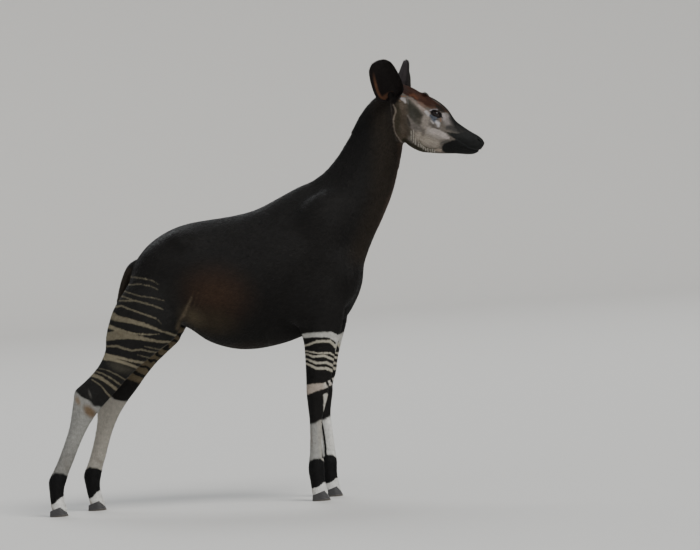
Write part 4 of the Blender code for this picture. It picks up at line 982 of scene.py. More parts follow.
def paint_hock(colours, q, inner, outer, wave):
    """The black inside of the hock, the pale cannon under it with painted light and shade, and its tan
    patches.
    """
    paint(colours, inner * below(q, HOCK_BLACK_EDGE, 0.020), DARK)
    cannon = below(moved(q, 0, 0.006 * wave), HOCK_LINE, 0.016)
    # The pale cannon is painted lighter on its inner face, which shows on the far leg, than on its outer
    # face: painted light and shade on one white. The outer face also darkens towards the bottom.
    paint(colours, cannon, (0.330, 0.325, 0.305))
    paint(colours, cannon * inner, (0.450, 0.420, 0.370))
    paint(colours, cannon * (1 - inner) * smoothstep((0.36 - q[:, 2]) / 0.12), (0.265, 0.258, 0.240))
    paint(colours, 0.8 * spot(q, (-1.150, 0.530), (0.020, 0.040), 20, 1.0), TAN)
    paint(colours, outer * spot(q, (-1.095, 0.474), (0.032, 0.056), 35, 0.7), (0.190, 0.132, 0.082))
    paint(colours, 0.7 * outer * spot(q, (-1.086, 0.560), (0.010, 0.034), 15, 0.9), (0.120, 0.115, 0.105))
    shank = cannon * spot(q, (-1.230, 0.215), (0.022, 0.060), 20, 1.0)
    paint(colours, 0.55 * shank * (0.6 + 0.4 * wave), (0.200, 0.180, 0.155))


def paint_hindleg(colours, q, inner, wave):
    distance, _ = distance_to_line(q, DOCK_LINE)
    dock = smoothstep(0.5 + (DOCK_HALF_WIDTH - np.hypot(distance, q[:, 1])) / 0.008)
    outer = (1 - inner) * (1 - dock)
    paint_inner_thigh(colours, q, inner, wave)
    paint(colours, dock, (0.028, 0.022, 0.017))
    paint_thigh_lines(colours, q, outer, wave)
    paint_hock(colours, q, inner, outer, wave)
    paint(colours, below(q, HIND_FETLOCK_EDGE, 0.012), BLACK)
    paint(colours, below(q, HIND_PASTERN_EDGE, 0.006), WHITE)
    paint(colours, 0.5 * spot(q, (-1.318, 0.020), (0.012, 0.040), 25, 0.7), (0.300, 0.230, 0.160))


def paint_fore_cannon(colours, q, inner):
    cannon = below(q, FORE_CANNON_EDGE, 0.016)
    front = smoothstep((q[:, 0] - 0.002) / 0.028)
    paint(colours, cannon, (0.385, 0.380, 0.360))
    # The cannon is painted lighter towards its front, as painted light, and far lighter on its inner face,
    # which shows on the far leg, as a lit copy of the same white.
    paint(colours, cannon * front, (0.470, 0.445, 0.395))
    paint(colours, cannon * inner * (0.6 + 0.4 * front), (0.880, 0.870, 0.835))
    paint(colours, 0.4 * cannon * spot(q, (-0.022, 0.280), (0.010, 0.080), 0, 0.8), (0.280, 0.240, 0.200))
    paint(colours, cannon * (1 - inner) * stroke(q, SHIN_LINE, 0.004), BLACK)
    # A black line of painted shade between the forelegs, on the inner face.
    paint(colours, inner * stroke(q, LEG_GAP_SHADE, 0.005), BLACK)


def paint_foreleg(colours, q, inner, _):
    photo = photo_place(q)
    front = q[:, 0] + 0.036 + 0.4 * (q[:, 2] - 0.775).clip(0)
    upper = smoothstep((0.80 - q[:, 2]) / 0.02) * smoothstep(front / 0.012)
    for line in FORE_LINES:
        shade = (0.580, 0.565, 0.530) if widest(line) > WIDE_FORE_LINE else (0.520, 0.485, 0.400)
        paint(colours, upper * stroke(photo, line, 0.72), shade)
    band = stroke(q, KNEE_BAND, 0.006)
    paint(colours, band, PINK_CREAM)
    paint(colours, band * smoothstep((q[:, 0] - 0.045) / 0.03), (0.700, 0.660, 0.600))
    paint(colours, stroke(q, KNEE_FRONT, 0.006), BLACK)
    paint(colours, (1 - inner) * stroke(q, KNEE_DROP, 0.005), (0.620, 0.600, 0.540))
    paint_fore_cannon(colours, q, inner)
    paint(colours, below(q, FORE_FETLOCK_EDGE, 0.010), BLACK)
    pastern = below(q, FORE_PASTERN_EDGE, 0.005)
    paint(colours, pastern, WHITE)
    paint(colours, 0.4 * pastern * spot(q, (-0.035, 0.020), (0.010, 0.030), 0, 0.8), (0.400, 0.330, 0.260))


def paint_head(colours, q, wave):
    """The face from the nape forward, broad grounds first and then what lies on them."""
    photo = photo_place(q)
    face = smoothstep(0.5 + cut_side(q, FACE_CUT) / 0.010) * (1 - below(q, JAW_EDGE, 0.010))
    paint(colours, face, (0.170, 0.148, 0.128))
    for line, soft, share, colour in FACE_STROKES:
        shade = share * stroke(photo, line, soft) * face
        paint(colours, shade * (1 + 0.10 * wave).clip(0, 1), colour)
    ridge = smoothstep((0.024 + q[:, 1]) / 0.015) * smoothstep((q[:, 0] - 0.725) / 0.03)
    paint(colours, 0.90 * ridge, (0.010, 0.010, 0.010))
    # The fine folds under the jaw, each painted as a dark line of painted shade beside a pale line of
    # painted highlight.
    for folds, half_width, soft, share, colour in ((FOLD_SHADES, 0.40, 0.72, 0.60, (0.130, 0.120, 0.090)),
                                                   (FOLD_HIGHLIGHTS, 0.45, 0.62, 0.85, (0.500, 0.465, 0.410))):
        for fold in folds:
            paint(colours, share * stroke(photo, [(*end, half_width) for end in fold], soft), colour)
    paint(colours, stroke(photo, MUZZLE, 1.64), (0.0130, 0.0135, 0.0132))
    paint(colours, stroke(photo, MUZZLE_UNDER, 2.05), (0.0110, 0.0116, 0.0112))
    # A thin painted sheen along the upper lip's edge.
    paint(colours, 0.70 * stroke(photo, LIP_SHEEN, 1.23), (0.026, 0.028, 0.029))
    paint_eyelids(colours, q)


def paint_eyelids(colours, q):
    """Bare black skin along the lids' edges, drawn out at both of the eye's corners."""
    u, v, w = eye_place(q * (1, -1, 1))
    facing = (w > -0.010) & (np.sqrt(u**2 + v**2 + w**2) < 0.06)
    almond = np.hypot(u / EYE_HALF_LENGTH, v / EYE_HALF_HEIGHT)
    edge = smoothstep((1.28 + 0.14 * (v > 0) - almond) / 0.16)
    for across, reach, rise, half_width in ((0.028, 0.007, 0.001, 0.0022), (-0.027, 0.005, -0.001, 0.0016)):
        away = np.hypot(np.maximum(np.abs(u - across) - reach, 0), v - rise)
        edge = np.maximum(edge, smoothstep(0.5 + (half_width - away) / 0.002))
    paint(colours, edge * facing, (0.016, 0.014, 0.014))
    brow = smoothstep(1 - np.abs(v - 0.030 + 0.010 * (u / 0.03) ** 2) / 0.0022) * (np.abs(u) < 0.026)
    paint(colours, 0.55 * brow * facing, (0.120, 0.095, 0.085))


def ear_shades(u, v, inside, rear):
    """Colours of an ear: a black rim, a back with painted sheen, a browner root, and tan hair painted as lit
    within its rear edge.
    """
    shade = np.tile((0.0150, 0.0125, 0.0125), (len(u), 1))
    # The back's lighter grey-purple is painted sheen on the dark hair.
    back = (1 - inside) * smoothstep((0.93 - np.abs(v)) / 0.10)
    paint(shade, 0.80 * back, (0.0380, 0.0310, 0.0330))
    paint(shade, 0.85 * back * smoothstep((0.32 - u) / 0.22), (0.0700, 0.0340, 0.0250))
    # The inside of the cup is painted black as painted shade.
    shaded_hollow = inside * smoothstep((0.97 - np.abs(v)) / 0.10) * smoothstep((0.96 - u) / 0.08)
    paint(shade, shaded_hollow, (0.0140, 0.0110, 0.0105))
    # Tan hair painted only on a crescent along the cup's rear wall and a strip at its bottom, as painted
    # light where light falls.
    lit_crescent = inside * smoothstep(0.5 + (0.09 - np.abs(rear - 0.59 + 0.06 * u)) / 0.12)
    lit_crescent *= smoothstep((0.86 - u) / 0.40) * smoothstep((u - 0.03) / 0.05)
    low = inside * smoothstep((u - 0.035) / 0.03) * smoothstep((0.19 - u) / 0.08)
    low *= smoothstep((rear + 0.25) / 0.35) * smoothstep((0.72 - rear) / 0.10)
    paint(shade, 0.90 * np.maximum(lit_crescent, low), (0.145, 0.070, 0.040))
    return shade


def paint_ears(colours, co, ear):
    for number, name in enumerate(EAR_POSES, 1):
        base, axis, _, _ = ear_frame(name)
        away = np.linalg.norm(co - base - 0.012 * axis, axis=1)
        foot = smoothstep((0.042 - away) / 0.012) * smoothstep((co[:, 2] - 1.880) / 0.015)
        paint(colours, foot * (ear == 0), (0.0130, 0.0105, 0.0100))
        mine = ear == number
        if mine.any():
            u, v, inside = ear_place(co[mine], name)
            colours[mine] = ear_shades(u, v, inside, -v if name == "right" else v)


def markings(co, no, ear):
    """The coat's colour at each point, the same on both sides."""
    q = side_view(co)
    inner = smoothstep(0.35 - no[:, 1] * np.sign(co[:, 1]) * 3.0)
    wave = ripple(co, 0.060, 6).clip(-1, 1)
    q = moved(q, 0.0012 * ripple(co, 0.012, 5), 0.0012 * ripple(co, 0.014, 8))
    colours = np.tile(DARK, (len(co), 1))
    paint_trunk(colours, q, wave)
    hind = (q[:, 0] < -0.55) & (q[:, 2] < 1.16)
    fore = (q[:, 0] > -0.20) & (q[:, 0] < 0.30) & (q[:, 2] < 0.81)
    head = (q[:, 2] > 1.55) & (q[:, 0] > 0.40)
    for part, painter in ((hind, paint_hindleg), (fore, paint_foreleg)):
        shade = colours[part]
        painter(shade, q[part], inner[part], wave[part])
        colours[part] = shade
    shade = colours[head]
    paint_head(shade, q[head], wave[head])
    streaks = ripple(q[head] * (0.30, 1.0, 1.0), 0.007, 11).clip(-1.5, 1.5)
    colours[head] = shade * (1 + 0.13 * streaks)[:, None]
    paint_ears(colours, co, ear)
    return colours * (1 + 0.06 * ripple(co, 0.035, 9).clip(-1, 1))[:, None]


def ear_place(co, name):
    """How far along the ear each point is, how far round it from -1 to 1, and 1 inside the cup."""
    base, axis, opening, across = ear_frame(name)
    rel = co - base
    u = (rel @ axis / EAR_LENGTH).clip(0, 1)
    rows = ear_rows(EAR_ROWS)
    half = np.radians(np.interp(u, rows[:, 0], rows[:, 2]))
    radius = EAR_HALF_GIRTH * np.interp(u, rows[:, 0], rows[:, 1]) / half
    away = rel - axis * (u * EAR_LENGTH)[:, None] - opening * radius[:, None]
    v = np.arctan2(away @ across, -away @ opening) / half
    return u, v, (np.linalg.norm(away, axis=1) < radius).astype(float)


def mixed(value, share, other):
    return value + share * (other - value)


def shares(q):
    """How much each point belongs to the neck, the thigh, the legs, the head and the muzzle."""
    x, z = q[:, 0], q[:, 2]
    foreleg = smoothstep((0.86 - z) / 0.08) * (np.abs(x - 0.05) < 0.25)
    return {
        "neck": smoothstep(cut_side(q, NECK_CUT) / 0.20 + 0.5) * (z > 1.0),
        "thigh": smoothstep((-0.58 - x) / 0.12) * smoothstep((1.15 - z) / 0.20),
        "leg": np.where(x < -0.5, smoothstep((0.80 - z) / 0.20), foreleg),
        "head": smoothstep(cut_side(q, HEAD_CUT) / 0.05 + 0.5) * (z > 1.5),
        "muzzle": smoothstep((x - 0.76) / 0.06) * (z > 1.5),
    }


def by_region(co, ear, amounts):
    """A value that differs between the coat's regions, blended across their borders."""
    result = np.full(len(co), float(amounts["body"]))
    for name, share in shares(side_view(co)).items():
        result = mixed(result, share, amounts[name])
    return np.where(ear > 0, amounts["ear"], result)


def coat_measure(co, ear, measure):
    return by_region(co, ear, {name: getattr(coat, measure) for name, coat in COATS.items()})


def lie(co, no, ear):
    """The way the coat lies at each point, along the skin."""
    q = side_view(co)
    x, z = q[:, 0], q[:, 2]
    region = shares(q)
    rump = smoothstep((-0.58 - x) / 0.22)
    chest = smoothstep((x - 0.08) / 0.12) * smoothstep((1.40 - z) / 0.15)
    shank = region["leg"] * (x < -0.5) * smoothstep((0.86 - z) / 0.08) * smoothstep((z - 0.50) / 0.10)
    low = region["leg"] * np.where(x < -0.5, smoothstep((0.60 - z) / 0.10), 1.0)
    cheek = region["head"] * smoothstep((1.80 - z) / 0.10)
    ways = [
        (rump, (-0.40, 0.0, -0.92)),
        (chest, (0.05, 0.0, -1.0)),
        (region["neck"], (-0.45, 0.0, -0.89)),
        (shank, (-0.75, 0.0, -0.66)),
        (low, (-0.08, 0.0, -1.0)),
        (region["head"], (-0.88, 0.0, 0.40)),
        (cheek, (-0.98, 0.0, -0.15)),
    ]
    flow = np.tile((-1.0, 0.0, -0.35), (len(co), 1))
    for share, way in ways:
        flow = mixed(flow, share[:, None], np.array(way))
    for number, name in enumerate(EAR_POSES, 1):
        mine = ear == number
        _, axis, opening, _ = ear_frame(name)
        _, _, inside = ear_place(co[mine], name)
        flow[mine] = axis + opening * (0.35 * inside)[:, None]
    flow += 0.10 * np.stack([ripple(co, 0.16, seed) for seed in (21, 22, 23)], axis=1)
    flow -= no * np.sum(flow * no, axis=1)[:, None]
    return flow / np.maximum(np.linalg.norm(flow, axis=1), 1e-6)[:, None]


def coat_depth(co, ear):
    depth = by_region(co, ear, COAT_DEPTH)
    eye = np.linalg.norm(mirrored(co) - np.array(EYE_CENTRE), axis=1)
    return depth * smoothstep((eye - 0.030) / 0.02)


def unwrap_parts(co, ear):
    """Which piece of the unwrap each point lies on, in the order of UNWRAP."""
    q = side_view(co)
    x, y, z = co.T
    part = np.zeros(len(co), int)
    part[cut_side(q, NECK_CUT) > 0] = 1
    part[cut_side(q, HEAD_CUT) > 0] = 2
    level = np.where(z < 1.0, z - 0.75 * np.abs(y), np.inf)
    fore = level < np.interp(q[:, 0], *np.array(FORE_CUT).T, left=-1, right=-1)
    hind = level < np.interp(q[:, 0], *np.array(HIND_CUT).T, left=0.925, right=-1)
    part[fore] = 3 + (y[fore] > 0)
    part[hind] = 5 + (y[hind] > 0)
    dock = (np.abs(y) < 0.03) & (x < -0.868) & (z > 0.85) & (x < -0.835 - (1.15 - z) * 0.42)
    part[dock] = 7
    part[ear > 0] = 7 + ear[ear > 0]
    return part


# Where each piece lies on the unwrap: its lower corner, then its width round and height along.
UNWRAP = [
    (0.010, 0.010, 0.440, 0.720), (0.460, 0.010, 0.300, 0.270), (0.770, 0.010, 0.220, 0.250),
    (0.460, 0.300, 0.160, 0.330), (0.630, 0.300, 0.160, 0.330), (0.460, 0.640, 0.230, 0.350),
    (0.700, 0.640, 0.230, 0.350), (0.800, 0.300, 0.060, 0.160), (0.870, 0.300, 0.110, 0.150),
    (0.870, 0.470, 0.110, 0.150),
]

# Height and x of the middle of a hindleg and of the dock, round which they unwrap.
HINDLEG_MIDDLE = [(0.0, -1.285), (0.20, -1.255), (0.50, -1.11), (0.62, -1.00), (0.75, -0.88), (0.90, -0.78)]
DOCK_MIDDLE = [(0.90, -0.949), (1.04, -0.919), (1.10, -0.894), (1.17, -0.860)]
DOCK_FOOT = 0.88
DOCK_HEIGHT = 0.35


def slanted(co, x, z, way):
    """How far each point is from a place in side view along a way there."""
    return (co[:, 0] - x) * way[0] + (co[:, 2] - z) * way[1]


def unwrap_axes(part, co):
    """The angle round and the share of the way along a piece of the unwrap."""
    x, y, z = co.T
    if part == 0:
        return np.arctan2(y, z - 1.12), (x + 0.95) / 1.30
    if part == 1:
        front = slanted(co, 0.15, 1.30, (0.892, -0.451))
        return np.arctan2(y, front), (slanted(co, 0.15, 1.30, (0.451, 0.892)) + 0.30) / 0.95
    if part == 2:
        down = slanted(co, 0.50, 1.80, (0.436, 0.90))
        return np.arctan2(y, down), (slanted(co, 0.50, 1.80, (0.90, -0.436)) + 0.12) / 0.60
    if part in (3, 4):
        forward = side_view(co)[:, 0] - 0.02 - 0.05 * smoothstep((z - 0.5) / 0.3)
        return np.arctan2(np.abs(y) - 0.108, forward), (z + 0.04) / 0.90
    if part in (5, 6):
        forward = side_view(co)[:, 0] - np.interp(z, *np.array(HINDLEG_MIDDLE).T)
        return np.arctan2(np.abs(y) - 0.112, forward), (z + 0.04) / 1.05
    if part == 7:
        return np.arctan2(y, x - np.interp(z, *np.array(DOCK_MIDDLE).T)), (z - DOCK_FOOT) / DOCK_HEIGHT
    u, v, inside = ear_place(co, list(EAR_POSES)[part - 8])
    turn = 0.42 * v.clip(-1.1, 1.1)
    return math.pi * np.where(inside > 0, 0.5 + turn, turn - 0.5), u


def unwrap(mesh, co, ear):
    """Lays every part of the skin out round its own axis, each face whole, in the map for baking."""
    corner = values(mesh.loops, "vertex_index")
    total = values(mesh.polygons, "loop_total")
    face = np.repeat(np.arange(len(total)), total)
    starts = np.concatenate([[0], np.cumsum(total)[:-1]])
    middle = np.stack([np.add.reduceat(co[corner, k], starts) / total for k in range(3)], axis=1)
    part = unwrap_parts(middle, np.maximum.reduceat(ear[corner], starts))
    uv = np.zeros((len(corner), 2))
    for number, (left, bottom, width, height) in enumerate(UNWRAP):
        mine = part[face] == number
        if mine.any():
            angle, along = unwrap_axes(number, co[corner[mine]])
            centre, _ = unwrap_axes(number, middle[face[mine]])
            angle = centre + (angle - centre + math.pi) % (2 * math.pi) - math.pi
            uv[mine, 0] = left + width * (0.02 + 0.96 * (angle / (2 * math.pi) + 0.5))
            uv[mine, 1] = bottom + height * along.clip(0, 1)
    set_uv(mesh, uv)
    return uv


def set_uv(mesh, uv):
    layer = mesh.uv_layers.new(name="OFBake")
    layer.data.foreach_set("uv", uv.astype(np.float32).ravel())


def set_colours(mesh, colours):
    attribute = mesh.attributes.new("coat", "FLOAT_COLOR", "POINT")
    rgba = np.ones((len(colours), 4), np.float32)
    rgba[:, :3] = colours
    attribute.data.foreach_set("color", rgba.ravel())


def ribbons(name, paths, sides, widths, colours, spots):
    """Thin tapered blades: each follows its path, is as wide as its widths and ends in a point."""
    count, rings = paths.shape[:2]
    half = sides[:, None, :] * (widths / 2)[:, :, None]
    body = np.stack([paths[:, :-1] - half, paths[:, :-1] + half], axis=2).reshape(count, -1, 3)
    points = np.concatenate([body, paths[:, -1:]], axis=1)
    each = points.shape[1]
    quads = [(2 * r, 2 * r + 1, 2 * r + 3, 2 * r + 2) for r in range(rings - 2)]
    corners = np.array([corner for quad in quads for corner in quad] + [each - 3, each - 2, each - 1])
    index = (np.arange(count)[:, None] * each + corners).ravel()
    sizes = np.tile([4] * (rings - 2) + [3], count)
    mesh = bpy.data.meshes.new(name)
    mesh.vertices.add(count * each)
    mesh.vertices.foreach_set("co", points.astype(np.float32).ravel())
    mesh.loops.add(len(index))
    mesh.loops.foreach_set("vertex_index", index.astype(np.int32))
    mesh.polygons.add(len(sizes))
    mesh.polygons.foreach_set("loop_start", np.concatenate([[0], np.cumsum(sizes)[:-1]]).astype(np.int32))
    mesh.update(calc_edges=True)
    mesh.shade_smooth()
    across = np.array([-1.0, 1.0] * (rings - 1) + [0.0])
    down = np.concatenate([np.repeat(np.linspace(-1, 0.6, rings - 1), 2), [1.0]])
    local = np.stack([across, down], axis=1)[corners] * (UV_PATCH / 2)
    set_uv(mesh, spots[:, None, :] + local)
    set_colours(mesh, np.repeat(colours, each, axis=0))
    return linked(name, mesh)


def scatter(mesh, co, no, ear, uv, random):
    """Roots for the tufts, spread evenly over the skin, with the skin's normal and place on its unwrap."""
    mesh.calc_loop_triangles()
    corners = values(mesh.loop_triangles, "vertices", 3)
    loops = values(mesh.loop_triangles, "loops", 3)
    a, b, c = (co[corners[:, k]] for k in range(3))
    area = np.linalg.norm(np.cross(b - a, c - a), axis=1) / 2
    middle = (a + b + c) / 3
    face_ear = ear[corners].max(axis=1)
    wanted = area / coat_measure(middle, face_ear, "spacing") ** 2
    wanted[bare(middle)] = 0
    edges = np.floor(np.cumsum(wanted) + random.random())
    number = np.diff(np.concatenate([[0], edges])).astype(int)
    chosen = np.repeat(np.arange(len(corners)), number)
    r, s = random.random(len(chosen)), random.random(len(chosen))
    over = r + s > 1
    r[over], s[over] = 1 - r[over], 1 - s[over]
    weights = np.stack([1 - r - s, r, s], axis=1)
    root, normal, spots = (
        sum(source[index[chosen, k]] * weights[:, k : k + 1] for k in range(3))
        for source, index in ((co, corners), (no, corners), (uv, loops))
    )
    normal /= np.linalg.norm(normal, axis=1)[:, None]
    return root, normal, face_ear[chosen], spots


def bare(co):
    """Where no tufts grow: in the eyes' and the nostrils' openings."""
    side = mirrored(co)
    eye = np.linalg.norm(side - np.array(EYE_CENTRE), axis=1) < EYE_RADIUS + 0.0015
    nostril = np.linalg.norm(side - np.array(NOSTRIL_CENTRE), axis=1) < 0.012
    return eye | nostril


def coat_part(co, ear):
    """Which piece of the coat each tuft belongs to, in the order of COAT_NAMES."""
    region = shares(side_view(co))
    left = co[:, 1] > 0
    part = np.where(co[:, 1] < 0, 0, 1)
    part = np.where(co[:, 2] < 1.02, np.where(co[:, 0] > -0.42, 4, 2) + left, part)
    part = np.where(region["neck"] > 0.5, 6, part)
    part = np.where(region["head"] > 0.5, 7 + left, part)
    return np.where(ear > 0, 9, part)


COAT_NAMES = ["coat_trunk_right", "coat_trunk_left", "coat_hind_right", "coat_hind_left", "coat_fore_right",
              "coat_fore_left", "coat_neck", "coat_head_right", "coat_head_left", "coat_ears"]


def tuft_sizes(root, root_ear, random):
    """Length, width and lift of each tuft, with the forehead's crest and the muzzle's whiskers."""
    count = len(root)
    length = coat_measure(root, root_ear, "length") * random.uniform(0.75, 1.2, count)
    width = coat_measure(root, root_ear, "width") * random.uniform(0.8, 1.2, count)
    lift = np.maximum(coat_depth(root, root_ear), 0.0004) * random.uniform(0.7, 1.1, count)
    crest = spot(side_view(root), CREST_CENTRE, CREST_RADII)
    crest *= smoothstep((0.035 - np.abs(root[:, 1])) / 0.015) * (root_ear == 0)
    length *= 1 + 1.2 * crest
    lift += CREST_HEIGHT * crest
    muzzle = (root[:, 0] > 0.80) & (root[:, 2] < 1.69) & (root_ear == 0)
    whisker = muzzle & (random.random(count) < WHISKER_SHARE)
    length[whisker] = WHISKER_LENGTH
    lift[whisker] = WHISKER_LIFT
    width[whisker] = WHISKER_WIDTH
    return length, width, lift


def make_coat(skin, co, no, ear, uv, material):
    """Short flat tufts all over, each in one colour taken from where it shows."""
    random = np.random.default_rng(SEED)
    root, normal, root_ear, spots = scatter(skin.data, co, no, ear, uv, random)
    count = len(root)
    length, width, lift = tuft_sizes(root, root_ear, random)
    way = lie(root, normal, root_ear)
    side = np.cross(normal, way)
    bend = random.normal(0, 0.16, count)[:, None]
    way = way * np.cos(bend) + side * np.sin(bend)
    side = np.cross(normal, way)
    steps = [(0.0, -0.25), (0.45, 0.75), (1.0, 1.0)]
    reach, rise = way * length[:, None], normal * lift[:, None]
    paths = np.stack([root + reach * s + rise * h for s, h in steps], axis=1)
    widths = np.stack([width * 0.8, width], axis=1)
    level, edge = (random.normal(0, 0.25, count)[:, None] for _ in range(2))
    side = side * np.cos(level) + normal * np.sin(edge)
    seen = root + 0.55 * reach
    colours = markings(seen, normal, root_ear) * random.uniform(0.78, 1.22, count)[:, None]
    paths = turned(paths.reshape(-1, 3)).reshape(paths.shape) + frame_shift()
    part = coat_part(root, root_ear)
    for number, name in enumerate(COAT_NAMES):
        mine = part == number
        piece = ribbons(name, paths[mine], side[mine], widths[mine], colours[mine], spots[mine])
        piece.data.materials.append(material)
        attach(piece, "root")


def joined(name, objects):
    """One mesh of several, whose shells still overlap."""
    shapes = []
    for obj in objects:
        faces = [tuple(p.vertices) for p in obj.data.polygons]
        shapes.append((places(obj.data), faces))
        removed(obj)
    return mesh_object(name, *merged(shapes))


def cut_side(co, line):
    """How far each point is in front of a cut line, along the line's forward normal."""
    a, b = (np.array(p) for p in line)
    way = unit(a - b)
    return (co[:, [0, 2]] - a) @ np.array((way[1], -way[0]))


def face_middles(mesh):
    return values(mesh.polygons, "center", 3, float)


def refine(obj, wanted):
    """Splits each wanted face into four."""
    bm = bmesh.new()
    bm.from_mesh(obj.data)
    bm.faces.ensure_lookup_table()
    edges = {edge for i in np.flatnonzero(wanted) for edge in bm.faces[int(i)].edges}
    bmesh.ops.subdivide_edges(bm, edges=list(edges), cuts=1, use_grid_fill=True)
    bm.to_mesh(obj.data)
    bm.free()


def make_flesh():
    """The body, head and dock fused into one skin, at the solids' own level."""
    body = mesh_object("body", *merged(body_shapes()))
    fuse(body, BODY_VOXEL)
    relax(body.data, BODY_SMOOTHING)
    relax(body.data, MUSCLE_BLEND, trunk_share(places(body.data)), 0.0)
    shapes = [loft(NECK[4:], 24, 48), loft(HEAD, 70, 60)] + [ear_root(name) for name in EAR_POSES]
    head = mesh_object("head", *merged(shapes))
    fuse(head, HEAD_VOXEL)
    relax(head.data, HEAD_SMOOTHING)
    for centre, radii, amount in HEAD_FORMS.values():
        brush(head.data, centre, radii, amount)
    dock = mesh_object("dock", *loft(TAIL, 20, 16))
    flesh = joined("skin", [body, head, dock])
    fuse(flesh, SKIN_VOXEL)
    relax(flesh.data, 3)
    joint = np.abs(cut_side(places(flesh.data), HEAD_CUT))
    relax(flesh.data, 25, falloff(joint / 0.09)[:, None])
    return flesh


def ear_frame(name):
    base, axis, opening = EAR_POSES[name]
    axis = unit(axis)
    opening = unit(opening - axis * (axis @ opening))
    return np.array(base), axis, opening, np.cross(axis, opening)


def ear_rows(count):
    return catmull_rom(EAR_STATIONS, count, 1)


def make_ear(name):
    """A finer copy of the solid's cup, which starts inside the head."""
    base, axis, opening, across = ear_frame(name)
    outer, inner = [], []
    v = np.linspace(-1, 1, EAR_COLUMNS)[:, None]
    for u, girth, wrap in ear_rows(EAR_ROWS):
        half = math.radians(wrap)
        radius = EAR_HALF_GIRTH * girth / half
        inward = opening * np.cos(v * half) - across * np.sin(v * half)
        middle = base + axis * (u * EAR_LENGTH) + opening * radius - inward * radius
        thickness = EAR_THICKNESS * (1 - EAR_RIM_THINNING * np.abs(v) ** 3)
        thickness = thickness * (1 - EAR_TIP_THINNING * u**3)
        outer.append(middle - inward * thickness / 2)
        inner.append(middle + inward * thickness / 2)
    rows, columns = EAR_ROWS, EAR_COLUMNS
    count = rows * columns
    faces = []
    for r in range(rows - 1):
        for c in range(columns - 1):
            i = r * columns + c
            faces.append((i, i + 1, i + columns + 1, i + columns))
            faces.append((count + i, count + i + columns, count + i + columns + 1, count + i + 1))
    rim = [r * columns for r in range(rows)] + [count - columns + c for c in range(1, columns)]
    rim += [r * columns + columns - 1 for r in range(rows - 2, -1, -1)] + list(range(columns - 2, 0, -1))
    for i, j in zip(rim, rim[1:] + rim[:1]):
        faces.append((i, j, count + j, count + i))
    ear = mesh_object("ear", np.vstack(outer + inner), faces)
    relax(ear.data, 2)
    return ear


def boolean(obj, tool, operation):
    modifier = obj.modifiers.new("boolean", "BOOLEAN")
    modifier.operation = operation
    modifier.material_mode = "TRANSFER"
    modifier.solver = "MANIFOLD"
    modifier.object = tool
    apply_modifiers(obj)
    removed(tool)


def make_eye_hole(side):
    """An almond-shaped plug from the eyeball's middle out through the lids."""
    along, up, out = eye_axes()
    points = []
    for depth in (0.0, 2.5 * EYE_RADIUS):
        for i in range(LID_POINTS):
            angle = 2 * math.pi * i / LID_POINTS
            u = EYE_HALF_LENGTH * math.cos(angle)
            v = EYE_HALF_HEIGHT * math.sin(angle) * (1 - 0.25 * abs(math.cos(angle)))
            p = Vector(EYE_CENTRE) + along * u + up * v + out * depth
            points.append((p.x, side * p.y, p.z))
    return mesh_object("cutter", points, tube_faces(2, LID_POINTS))


def turned(co):
    """The head and upper neck carried a little to the right, as the solids' are."""
    progress = smoothstep((co - TURN_START) @ TURN_WAY / TURN_LENGTH)
    angle = HEAD_TURN * progress
    x, y = co[:, 0] - NECK_PIVOT[0], co[:, 1] - NECK_PIVOT[1]
    return np.stack([
        NECK_PIVOT[0] + x * np.cos(angle) - y * np.sin(angle),
        NECK_PIVOT[1] + x * np.sin(angle) + y * np.cos(angle),
        co[:, 2],
    ], axis=1)


def frame_shift():
    """From this script's place of the model to the frame's, taken from a forefoot's hooves."""
    low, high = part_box("hoof_fore_right_outer")
    inner_low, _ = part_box("hoof_fore_right_inner")
    middle = ((low[0] + high[0]) / 2, (high[1] + inner_low[1]) / 2)
    return np.array((middle[0] - FORE_FOOT[0], middle[1] + FORE_FOOT[1], SOLE_DEPTH))


def label(name):
    return bpy.data.materials.get(name) or bpy.data.materials.new(name)


def ear_labels(mesh):
    """1 at the points of the right ear, 2 at those of the left one, and 0 elsewhere."""
    kinds = np.zeros(len(mesh.materials), int)
    for i, material in enumerate(mesh.materials):
        if material and material.name.startswith("ear_"):
            kinds[i] = list(EAR_POSES).index(material.name[4:]) + 1
    slots = values(mesh.polygons, "material_index")
    ear = np.zeros(len(mesh.vertices), int)
    corner = values(mesh.loops, "vertex_index")
    np.maximum.at(ear, corner, np.repeat(kinds[slots], values(mesh.polygons, "loop_total")))
    return ear


def edge_ends(mesh):
    return values(mesh.edges, "vertices", 2).T


def spread(mesh, share, rounds):
    """Spreads a share over the mesh from each point to its neighbours."""
    a, b = edge_ends(mesh)
    for _ in range(rounds):
        wider = share.copy()
        np.maximum.at(wider, a, share[b] * 0.85)
        np.maximum.at(wider, b, share[a] * 0.85)
        share = wider
    return share


def refine_head(skin):
    """Splits the faces of the head once, and those round the eyes, nostrils and lips again."""
    refine(skin, cut_side(face_middles(skin.data), HEAD_CUT) > -HEAD_ZONE)
    ahead = cut_side(places(skin.data), HEAD_CUT)
    relax(skin.data, 4, smoothstep(ahead / HEAD_ZONE + 1)[:, None])
    middles = face_middles(skin.data)
    middles[:, 1] = np.abs(middles[:, 1])
    near = [np.linalg.norm(middles - centre, axis=1) < reach for centre, reach in FINE_SPOTS]
    refine(skin, np.any(near, axis=0))


